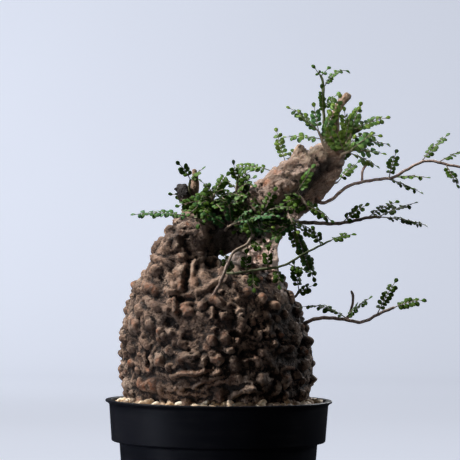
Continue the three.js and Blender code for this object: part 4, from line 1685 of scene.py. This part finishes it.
SHOOTS: dict[str, Shoot] = {
    "left_frond": Shoot(
        ((-4, -22, 237.5), (-7, -27, 240), (-17, -29, 244.5)), 1.1,
        ((1, (-56, -32, 246), 2), (0.9, (-14.5, -28, 256), 0)), age=AgeAndSheen.PAINTED_SHEEN, leaflet=4.8,
    ),
    "stump_sprout": Shoot(
        ((-20, -12, 258), (-20.5, -14, 266), (-20, -15, 270.5)), 1,
        ((1, (-27, -17, 279.5), 1), (0.8, (-12.5, -16, 276.5), 1)), green=0.8,
    ),
    "left_spray": Shoot(
        ((-5.5, -14, 249), (-6, -17, 255), (-4, -20, 260.5)), 1.2,
        ((0.9, (-12, -19, 268), 1), (1, (4, -22, 272.5), 1), (0.9, (2, -33, 262.5), 1),
         (0.7, (-16.5, -27, 258), 1), (0.5, (8, -30, 254), 1), (0.5, (-20, -35, 246.5), 2),
         (0.4, (-10, -38, 242.5), 2), (0.6, (-27, -31, 252), 1)), twins=2,
    ),
    "centre_spray": Shoot(
        ((10.5, -12, 258), (10.5, -14, 263), (11, -15, 268.5)), 1.1,
        ((1, (8.5, -15, 280), 0), (0.9, (19.5, -11, 276), 1), (0.7, (21, -20, 266), 1),
         (0.4, (14, -30, 256), 0), (0.3, (2, -29, 259), 0)), twins=2,
    ),
    "front_frond": Shoot(
        ((2.5, -23, 236), (6, -33, 239), (9.5, -38, 240.5)), 1.1,
        ((1, (36, -46, 245.5), 2), (0.8, (5.5, -38, 253), 0), (0.9, (30, -43, 236), 1),
         (0.5, (-9, -38, 246), 1), (0.7, (22, -41, 251), 1)), age=AgeAndSheen.PAINTED_SHEEN, leaflet=4.1,
    ),
    "limb_spray": Shoot(
        ((18, -22, 242), (23.5, -30, 244.5), (28.5, -33, 248)), 1.2,
        ((1, (19.5, -32, 258.5), 0), (1, (35, -32, 262), 1), (0.9, (45.5, -34, 251.5), 2),
         (0.6, (28, -35, 231), 0), (0.5, (9.5, -29, 252.5), 1), (0.8, (12, -34, 240), 0),
         (0.9, (40, -33, 241), 0), (0.3, (2, -30, 246), 1)), age=AgeAndSheen.OLD, twins=2,
    ),
    "hanging_spray": Shoot(
        ((41.5, -18, 252), (45.5, -26, 244.5), (49, -29, 239)), 1.2,
        ((1, (61, -32, 205.5), -2), (0.8, (33, -35, 228.5), 1), (1, (65, -30, 229.5), 1),
         (0.6, (50, -32, 224), 0)), age=AgeAndSheen.YOUNG, twins=1,
    ),
    "high_spray": Shoot(
        ((48.5, -16, 264), (52, -21, 259), (56.5, -24, 252.5)), 1.2,
        ((0.3, (57, -22, 272), 0), (1, (72, -26, 243.5), 1), (0.6, (41, -28, 254), 1),
         (0.8, (47, -29, 249), 0)),
        twins=1,
    ),
    "green_twig": Shoot(
        ((3, -38, 209), (10, -49, 208.5), (25.5, -51, 211), (38.5, -51, 213), (44.5, -50, 215.5),
         (52.5, -47, 220.5), (63, -43, 226), (72, -40, 230.5)), 0.9,
        ((1, (85, -38, 234), 1), (0.9, (60.5, -42, 236.5), 0), (0.58, (56, -52, 210), 0),
         (0.15, (2, -54, 220), 0), (0.25, (17, -56, 221), 0), (0.3, (22, -56, 199), 0),
         (0.42, (31, -55, 223), 0), (0.5, (38, -56, 201), 0)), age=AgeAndSheen.OLD, green=1,
    ),
    "front_twig": Shoot(
        ((-4.5, -48, 193), (0, -55, 201), (4, -56, 211.5), (9, -50, 222), (17, -45, 227), (22, -43, 234)),
        1.2, ((1, (17, -44, 243), 0), (0.85, (29, -46, 226), 0)), green=0.25,
    ),
    "right_sprig": Shoot(
        ((44, -12, 193), (50, -14, 194), (52, -15, 198)), 1,
        ((1, (48.5, -17, 215), 2), (0.6, (61, -18, 201), 1)), green=0.6,
    ),
    "low_twig": Shoot(
        ((55, -8, 175.5), (61, -11, 178.5), (69, -15, 180), (82.5, -20, 179), (92.5, -23, 177.5),
         (105.5, -27, 184), (114, -29, 187.5)), 1.3,
        ((0.5, (54, -20, 187), 4), (0.45, (97, -31, 193), 1), (0.8, (114.5, -22, 204), 1),
         (1, (131, -33, 192), 1)),
        (((83.5, -20, 179), (86.5, -17, 187), (87.5, -15, 194.5), (86, -15, 198)),), green=0.1,
    ),
    "middle_twig": Shoot(
        ((46, 9, 246), (52, 0, 243), (62.5, -6, 242.5), (75, -7, 242), (86, -5, 243.5), (98.5, -2, 246.5),
         (107, 0, 247)), 1.4,
        ((0.6, (95.5, -11, 254), 1), (0.86, (117, 7, 257), 1), (1, (128, -7, 256), 1), (1, (136, 3, 242), 1)),
        age=AgeAndSheen.OLD, green=0.15,
    ),
    "long_twig": Shoot(
        ((62.5, 7, 260), (66.5, 0, 256), (72.5, -4, 257.5), (83.5, -7, 266.5), (93, -10, 269.5),
         (105.5, -13, 271.5), (113.5, -16, 272.5), (121, -19, 277), (134, -23, 283), (150, -27, 280),
         (165, -30, 277.5)), 1.2,
        ((0.5, (115.5, -9, 289), 1), (0.52, (134, -27, 272), 1), (0.48, (131, -14, 263), 1),
         (0.7, (148, -18, 300), 1), (0.8, (164, -20, 292), 1), (0.84, (153, -35, 267), 0),
         (1, (182, -28, 283), 1), (0.97, (176, -37, 270), 1)),
        (((93, -10, 269.5), (94, -8, 278), (97.5, -7, 283)),), green=0,
    ),
    "head_shoot": Shoot(
        ((70.5, -4, 293), (69, -5, 300.5), (67.5, -5, 320.5), (67, -5, 336.5), (65, -5, 341)), 1.2,
        ((0.5, (76, -8, 327), 1), (0.45, (66, -13, 331), -1), (0.8, (82.5, -5, 343.5), 4),
         (0.97, (70, -3, 344.5), 0), (1, (62, -6, 344.5), 0)), green=0.9, leaflet=3.3,
    ),
    "head_left": Shoot(
        ((69, -7, 290), (66.5, -11, 297), (64, -12, 303)), 1.2,
        ((0.6, (43, -14, 298.5), 1), (1, (61, -15, 318.5), 0), (0.95, (45, -13, 317.5), 2),
         (0.9, (53, -16, 311), 1), (0.5, (77.5, -16, 325), 0), (0.3, (71, -18, 312), 0)),
        age=AgeAndSheen.YOUNG,
    ),
    "head_right": Shoot(
        ((80, -6, 291), (84, -10, 297), (86, -11, 304)), 1.2,
        ((0.6, (103.5, -12, 300), 1), (0.9, (91.5, -9, 320), 1), (1, (109, -10, 312), 1),
         (0.4, (81, -15, 316), 1)),
        age=AgeAndSheen.YOUNG, twins=1,
    ),
    "head_low": Shoot(
        ((79.5, -6, 286), (81, -15, 288), (85, -17, 289.5)), 1.2,
        ((0.7, (75, -20, 303), 0), (0.9, (97.5, -20, 300), 0),
         (1, (106, -17, 288), 1)), age=AgeAndSheen.YOUNG, leaflet=5.4, twins=1,
    ),
    "ridge_sprig": Shoot(
        ((43.5, 2, 278), (43, 6, 283)), 1, ((1, (37, 9, 304), 0), (0.9, (51, 10, 293), 0)),
        age=AgeAndSheen.YOUNG, green=0.8,
    ),
    "ridge_frond": Shoot(
        ((36, 1, 272), (33.5, 7, 277.5)), 1, ((1, (8, 10, 279), 2),), age=AgeAndSheen.YOUNG, green=0.8,
    ),
    "limb_leaf": Shoot(((74, 7, 269), (78.5, 12, 270.5)), 1, ((1, (92, 14, 284), 1),)),
    "rear_high_spray": Shoot(
        ((73.5, 8, 276.5), (76.5, 24, 281), (79.5, 30, 285.5)), 1.2,
        ((1, (93, 36, 297), 2), (0.8, (63, 38, 294), 2)),
    ),
    "rear_middle_spray": Shoot(
        ((32, 28, 235.5), (36.5, 42, 241), (41, 47, 245.5)), 1.2,
        ((1, (59, 54, 255), 2), (0.8, (27, 57, 255), 2)),
    ),
    "rear_left_spray": Shoot(
        ((-17, 0, 243), (-17, 16, 249), (-18, 21, 254)), 1.2,
        ((1, (-33, 27, 262), 2), (0.8, (-6, 28, 266), 2)),
    ),
    "rear_low_spray": Shoot(
        ((6.5, 36, 209), (8, 46, 216.5), (10.5, 50, 219.5)), 1.2,
        ((1, (28, 57, 221), 2), (0.8, (-9, 56, 224), 2)),
    ),
}


@dataclass
class Foliage:
    """All leafy shoots: stems as tubes, ribs as thin tubes and leaflets as small curved blades."""

    spacing: float = 0.55
    bare_share: float = 0.14
    end_leaflet: float = 3.9
    rib_radii: Pair = (0.42, 0.22)
    rib_steps: int = 24
    least_green: float = 0.55
    twin_sway: float = 17
    twin_share: float = 0.8
    blade_rows: int = 7
    blade_columns: int = 5
    blade_thickness: float = 0.32
    half_width: float = 0.37
    cup: float = 0.55
    node_spacing: float = 7.5
    twiglet_radii: Pair = (0.8, 0.9)

    def blades(self, base: Array, along: Array, face: Array, length: Array, tone: Array) -> Surface:
        """Leaflets: each an obovate blade, cupped across and curled down along its length.

        A point at share u along and v across is the base, plus length times u along, plus half the
        width times v across, where the half width is a power of a sine of u, less a droop that
        grows with u squared, plus a cup that grows with v squared. The upper and lower skins part by
        a thickness that falls to nothing at the edge.

        Args:
            base: Where each leaflet starts.
            along: Its direction.
            face: Its upper side's direction.
            length: Its length.
            tone: Its colour tone.

        Returns:
            All leaflets as one closed surface each.
        """
        count, rows, columns = len(base), self.blade_rows, self.blade_columns
        u = np.linspace(0, 1, rows + 2)[1:-1]
        v = np.linspace(-1, 1, columns)
        half = self.half_width * np.sin(np.pi * u**1.35) ** 0.65
        size = length[:, None, None, None]
        curl = 0.5 * scatter(np.arange(count), 31)[:, None, None, None] - 0.05
        along4, across4, face4 = (part[:, None, None, :] for part in (along, np.cross(face, along), face))
        grid_u, grid_v = u[None, :, None, None], v[None, None, :, None]
        wide = half[None, :, None, None] * grid_v
        middle = (
            base[:, None, None, :] + size * (along4 * grid_u + across4 * wide)
            + face4 * size * (self.cup * wide**2 - curl * grid_u**2)
        )
        edge = np.sqrt(np.clip(1 - grid_v**2, 0, 1)) * np.sin(np.pi * np.clip(grid_u, 0.05, 0.95)) ** 0.5
        lift = face4 * 0.5 * self.blade_thickness * edge
        upper, lower = middle + lift, (middle - lift)[:, :, 1:-1]
        ends = np.stack([base, base + (along - face * curl[:, 0, 0]) * length[:, None]], 1)
        points = np.concatenate([
            upper.reshape(count, -1, 3), lower.reshape(count, -1, 3), ends], axis=1)
        faces, fans = self.blade_faces()
        each = points.shape[1]
        shift = each * np.arange(count)[:, None, None]
        vein = 1 - np.abs(np.concatenate([np.tile(v, rows), np.tile(v[1:-1], rows), [0, 0]]))
        return Surface(
            points.reshape(-1, 3),
            ((faces[None] + shift).reshape(-1, 4), (fans[None] + shift).reshape(-1, 3)),
            {"tone": np.repeat(tone, each), "vein": np.tile(vein, count)},
        )

    def blade_faces(self) -> tuple[Array, Array]:
        """Faces of one blade: the upper grid, the lower grid that shares its edge, and the end fans.

        Returns:
            Four-sided faces and triangles.
        """
        rows, columns = self.blade_rows, self.blade_columns
        upper = np.arange(rows * columns).reshape(rows, columns)
        lower = upper.copy()
        lower[:, 1:-1] = rows * columns + np.arange(rows * (columns - 2)).reshape(rows, -1)
        start = rows * (2 * columns - 2)
        tops = np.stack([upper[:-1, :-1], upper[1:, :-1], upper[1:, 1:], upper[:-1, 1:]], -1)
        unders = np.stack([lower[:-1, :-1], lower[:-1, 1:], lower[1:, 1:], lower[1:, :-1]], -1)
        near, far = np.full(columns - 1, start), np.full(columns - 1, start + 1)
        fans = np.concatenate([
            np.stack([near, upper[0, :-1], upper[0, 1:]], -1),
            np.stack([near, lower[0, 1:], lower[0, :-1]], -1),
            np.stack([far, upper[-1, 1:], upper[-1, :-1]], -1),
            np.stack([far, lower[-1, :-1], lower[-1, 1:]], -1),
        ])
        return np.concatenate([tops.reshape(-1, 4), unders.reshape(-1, 4)]), fans

    def leaf(self, shoot: Shoot, base: Array, tip: Array, bow: float, item: int) -> list[Surface]:
        """One pinnate leaf: a rib along a parabola and leaflets in pairs, with one at the end.

        Args:
            shoot: The shoot that bears it.
            base: Where its rib starts.
            tip: Its tip.
            bow: How far the rib's middle bows up.
            item: Its number for the draws.

        Returns:
            The rib and the leaflets.
        """
        steps = self.rib_steps
        share = np.linspace(0, 1, steps + 1)[:, None]
        bend = 0.5 * (base + tip) + (0, 0, 2 * bow)
        middle = (1 - share) ** 2 * base + 2 * share * (1 - share) * bend + share**2 * tip
        rib = curve(tuple(map(tuple, middle[::4])), steps)
        length = rib.length
        tilt = np.radians(15 + 50 * scatter(item, 8))
        rearward = 1 if tip[1] > 15 else -1
        facing = unit(np.array([0.6 * (scatter(item, 9) - 0.5), rearward * np.sin(tilt), np.cos(tilt)]))
        paired = length * (1 - self.bare_share) - self.end_leaflet * 0.8
        pairs = max(1, round(paired / (self.spacing * shoot.leaflet)))
        run = length * self.bare_share + (np.arange(pairs) + 0.5) * paired / pairs
        at = rib.at(np.repeat(run, 2) / length)
        draws = 40 * item + np.arange(2 * pairs)
        along, up = self.spread_out(at, facing, draws)
        grown = 1 - 0.22 * np.abs(np.repeat(2 * np.arange(pairs) / pairs - 0.8, 2))
        size = shoot.leaflet * grown * (0.88 + 0.24 * scatter(draws, 15))
        last = rib.at(np.array([0.96]))
        tone = shoot.age.value + 0.16 * (scatter(item, 16) - 0.5) + 0.2 * (scatter(draws, 17) - 0.5)
        end_face = unit(np.cross(last.tangent, unit(np.cross(facing, last.tangent))))
        leaflets = self.blades(
            np.vstack([at.middle, last.middle]), np.vstack([along, last.tangent]),
            np.vstack([up, end_face]), np.append(size, self.end_leaflet),
            np.clip(np.append(tone, shoot.age.value + 0.1), 0, 1),
        )
        greenness = np.full(steps + 1, max(self.least_green, shoot.green))
        return [leaflets, tube(rib, spread(self.rib_radii, steps + 1), 6, {"green": greenness}, 1)]

    def spread_out(self, at: Line, facing: Array, draws: Array) -> tuple[Array, Array]:
        """Directions of paired leaflets: out to both sides of the rib, leant and rolled by draws.

        Args:
            at: The rib where each leaflet starts.
            facing: The way that the leaf faces.
            draws: Numbers of the leaflets for the draws.

        Returns:
            Directions of the leaflets' lengths and of their upper sides.
        """
        sign = np.tile([-1.0, 1.0], len(draws) // 2)[:, None]
        side = unit(np.cross(facing, at.tangent))
        face = unit(np.cross(at.tangent, side))
        lean = (0.35 + 0.5 * scatter(draws, 12))[:, None]
        roll = (1.5 * scatter(draws, 13) - 0.6)[:, None]
        pitch = (scatter(draws, 14) - 0.5)[:, None]
        along = unit(side * sign + at.tangent * lean - face * (0.5 * roll))
        up = unit(face + side * sign * 0.4 * roll + at.tangent * pitch * 0.9)
        return along, unit(up - along * np.sum(up * along, axis=1)[:, None])

    def twig(self, path: tuple, radii: tuple, green: float) -> Surface:
        """A stem: a tube with slight swellings at its nodes, greener towards its end.

        Args:
            path: Points of its middle line.
            radii: Radius at its start and end.
            green: How green it is halfway.

        Returns:
            The tube.
        """
        line = curve(path, max(16, int(curve(path).length / 1.5)))
        count = len(line.middle)
        run = np.linspace(0, line.length, count)
        knots = 1 + 0.12 * np.maximum(0, np.sin(run * TURN / self.node_spacing)) ** 6
        radius = spread(radii, count) * knots
        radius[-1] *= 0.45
        wave = 0.12 * radii[0] * np.stack([np.sin(run * 0.7), np.cos(run * 0.5), np.sin(run * 0.9)], -1)
        wave *= np.minimum(1, run / 4)[:, None]
        bent = Line(line.middle + wave, line.tangent, line.normal, line.length)
        marks = {"green": np.clip(green + 0.35 * (np.linspace(0, 1, count) - 0.5), 0, 1)}
        return tube(bent, radius, 10, marks, 1)

    def leaves(self, shoot: Shoot, number: int) -> list[Surface]:
        """All leaves of a shoot, each followed by its twins a little lower on the stem.

        Args:
            shoot: The shoot.
            number: Its number for the draws.

        Returns:
            Ribs and leaflets.
        """
        line = curve(shoot.stem)
        parts = []
        for k, (share, tip, bow) in enumerate(shoot.leaves):
            tip = np.array(tip, float)
            base = line.at(np.array([min(share, 0.97)])).middle[0]
            parts += self.leaf(shoot, base, tip, bow, 20 * number + k)
            for twin in range(shoot.twins):
                item = 20 * number + k + 7.3 * (twin + 1)
                near = line.at(np.array([share * (0.45 + 0.4 * scatter(item, 41))])).middle[0]
                sway = np.array([scatter(item, stream) for stream in (42, 43, 44)]) - 0.5
                end = near + (tip - base) * self.twin_share + sway * self.twin_sway
                parts += self.leaf(shoot, near, end, bow, item)
        return parts

    def build(self) -> None:
        """Adds every shoot as one piece."""
        finishes = [LeafFinish().material(), TwigFinish().material()]
        for number, (name, shoot) in enumerate(SHOOTS.items()):
            parts = [self.twig(shoot.stem, (shoot.radius, 0.7 * shoot.radius), shoot.green)]
            parts += [self.twig(path, self.twiglet_radii, shoot.green) for path in shoot.twiglets]
            parts += self.leaves(shoot, number)
            add_piece(f"{name}_shoot", parts, finishes, name)


# Stage


class Reach(Enum):
    """What a lamp lights, as the object that its light is linked to and the way of the link."""

    OBJECT = ("room", "EXCLUDE")
    WOOD = ("caudex_wood", "INCLUDE")
    ROOM = ("room", "INCLUDE")


@dataclass(frozen=True)
class Lamp:
    """A soft area light: place, aim, width and height, watts, colour, and its beam in degrees."""

    name: str
    place: Point
    aim: Point
    size: Pair
    power: float
    colour: Colour
    beam: float


LAMPS: dict[Reach, tuple[Lamp, ...]] = {
    Reach.OBJECT: (
        Lamp("key", (-850, -60, 1350), (40, 0, 285), (160, 160), 1.35, (1, 0.95, 0.9), 26),
        Lamp("front", (-700, -1100, 500), (0, 0, 190), (300, 300), 0.05, (1, 0.95, 0.9), 24),
        Lamp("crown", (-400, -1100, 650), (74, -10, 312), (60, 60), 0.016, (1, 0.98, 0.92), 5.5),
        Lamp("side", (-1100, -500, 60), (0, 0, 45), (70, 300), 0.1, (0.8, 0.86, 1), 12),
        Lamp("top", (-350, 700, 1300), (40, 0, 240), (500, 400), 0.8, (0.95, 0.97, 1), 36),
        Lamp("back", (500, 1400, 900), (0, 0, 180), (600, 600), 1, (0.97, 0.98, 1), 40),
        Lamp("right", (1250, 750, 700), (0, 0, 180), (500, 500), 0.5, (0.97, 0.98, 1), 36),
    ),
    Reach.WOOD: (
        Lamp("rear", (-250, -1000, 240), (41, 0, 222), (30, 30), 0.016, (1, 0.94, 0.9), 3),
        Lamp("inner", (300, -1000, 195), (64, 5, 262), (40, 40), 0.0025, (1, 0.95, 0.92), 4),
    ),
    Reach.ROOM: (
        Lamp("above", (-700, 500, 2800), (0, 0, 0), (1000, 1000), 33, (1, 0.99, 0.97), 180),
        Lamp("wall", (-1500, 1800, 1500), (-600, 3900, 600), (1500, 1000), 10, (0.95, 0.97, 1), 110),
    ),
}


@dataclass
class Stage:
    """A round pale room whose floor curves up into its wall, the lamps and the camera."""

    lens: float = 156.5
    sensor: float = 36
    clip: Pair = (0.05, 30)
    eye: Point = (6.4, -1327, 201.5)
    pitch: float = 1.55
    roll: float = 0.5
    floor_start: float = 300
    floor_radius: float = 3000
    curve_radius: float = 900
    curve_steps: int = 24
    ceiling: float = 4500
    segments: int = 96
    sky: Colour = (0.75, 0.82, 1)
    sky_strength: float = 0.035

    def room(self) -> None:
        """Adds the room: the half section of a floor, a quarter round and a wall, turned round z.

        Its own light doesn't reach the object, so that the object's shaded sides stay deep.
        """
        turn = np.linspace(0, np.pi / 2, self.curve_steps)
        wall_radius = self.floor_radius + self.curve_radius
        profile = np.vstack([
            [(self.floor_start, 0)],
            np.stack([self.floor_radius + self.curve_radius * np.sin(turn),
                      self.curve_radius * (1 - np.cos(turn))], -1),
            [(wall_radius, self.ceiling)],
        ])
        mesh = mesh_from("room", [lathe(profile, self.segments)])
        mesh.materials.append(StageFinish().material())
        room = add_object("room", mesh)
        room.visible_diffuse = room.visible_glossy = room.visible_shadow = False

    def light(self, lamp: Lamp) -> Piece:
        """Adds a lamp, turned to its aim.

        Args:
            lamp: The lamp.

        Returns:
            Its object.
        """
        data = bpy.data.lights.new(lamp.name, "AREA")
        data.spread = np.radians(lamp.beam)
        data.shape, data.energy, data.color = "RECTANGLE", lamp.power, lamp.colour
        data.size, data.size_y = (side * MM for side in lamp.size)
        start, end = Vector(lamp.place) * MM, Vector(lamp.aim) * MM
        turned = (end - start).to_track_quat("-Z", "Y").to_matrix().to_4x4()
        light = add_object(lamp.name, data)
        light.matrix_world = Matrix.Translation(start) @ turned
        return light

    def lights(self) -> None:
        """Adds the lamps, each linked to what it lights or has to leave dark."""
        for reach, lamps in LAMPS.items():
            name, state = reach.value
            group = bpy.data.collections.new(f"{state.lower()}_{name}")
            group.objects.link(bpy.data.objects[name])
            group.collection_objects[0].light_linking.link_state = state
            for lamp in lamps:
                self.light(lamp).light_linking.receiver_collection = group

    def camera(self) -> None:
        """Adds the camera at the photograph's viewing angle."""
        data = bpy.data.cameras.new("camera")
        data.lens, data.sensor_width = self.lens, self.sensor
        data.clip_start, data.clip_end = self.clip
        camera = add_object("camera", data)
        camera.matrix_world = (
            Matrix.Translation(Vector(self.eye) * MM)
            @ Matrix.Rotation(np.radians(90 + self.pitch), 4, "X")
            @ Matrix.Rotation(np.radians(self.roll), 4, "Z")
        )
        bpy.context.scene.camera = camera

    def build(self) -> None:
        """Adds camera, room, lamps and a dim sky."""
        self.camera()
        self.room()
        self.lights()
        world = bpy.data.worlds.new("studio")
        world.use_nodes = True
        sky = world.node_tree.nodes["Background"]
        sky.inputs["Color"].default_value = (*self.sky, 1)
        sky.inputs["Strength"].default_value = self.sky_strength
        bpy.context.scene.world = world
        bpy.context.scene.view_settings.view_transform = "Standard"


def dress_soil() -> None:
    """Gives the soil, which keeps its CAD solid, its finish."""
    soil = frame["nodes"]["substrate"]
    soil.data.materials.clear()
    soil.data.materials.append(SoilFinish().material())


def main() -> None:
    """Builds every piece in order, then the stage."""
    logging.basicConfig(level=logging.INFO, format="%(name)s: %(message)s")
    Pot().build()
    caudex = Caudex()
    caudex.build()
    Gravel(caudex).build()
    dress_soil()
    Foliage().build()
    Stage().build()


if __name__ == "__main__":
    main()
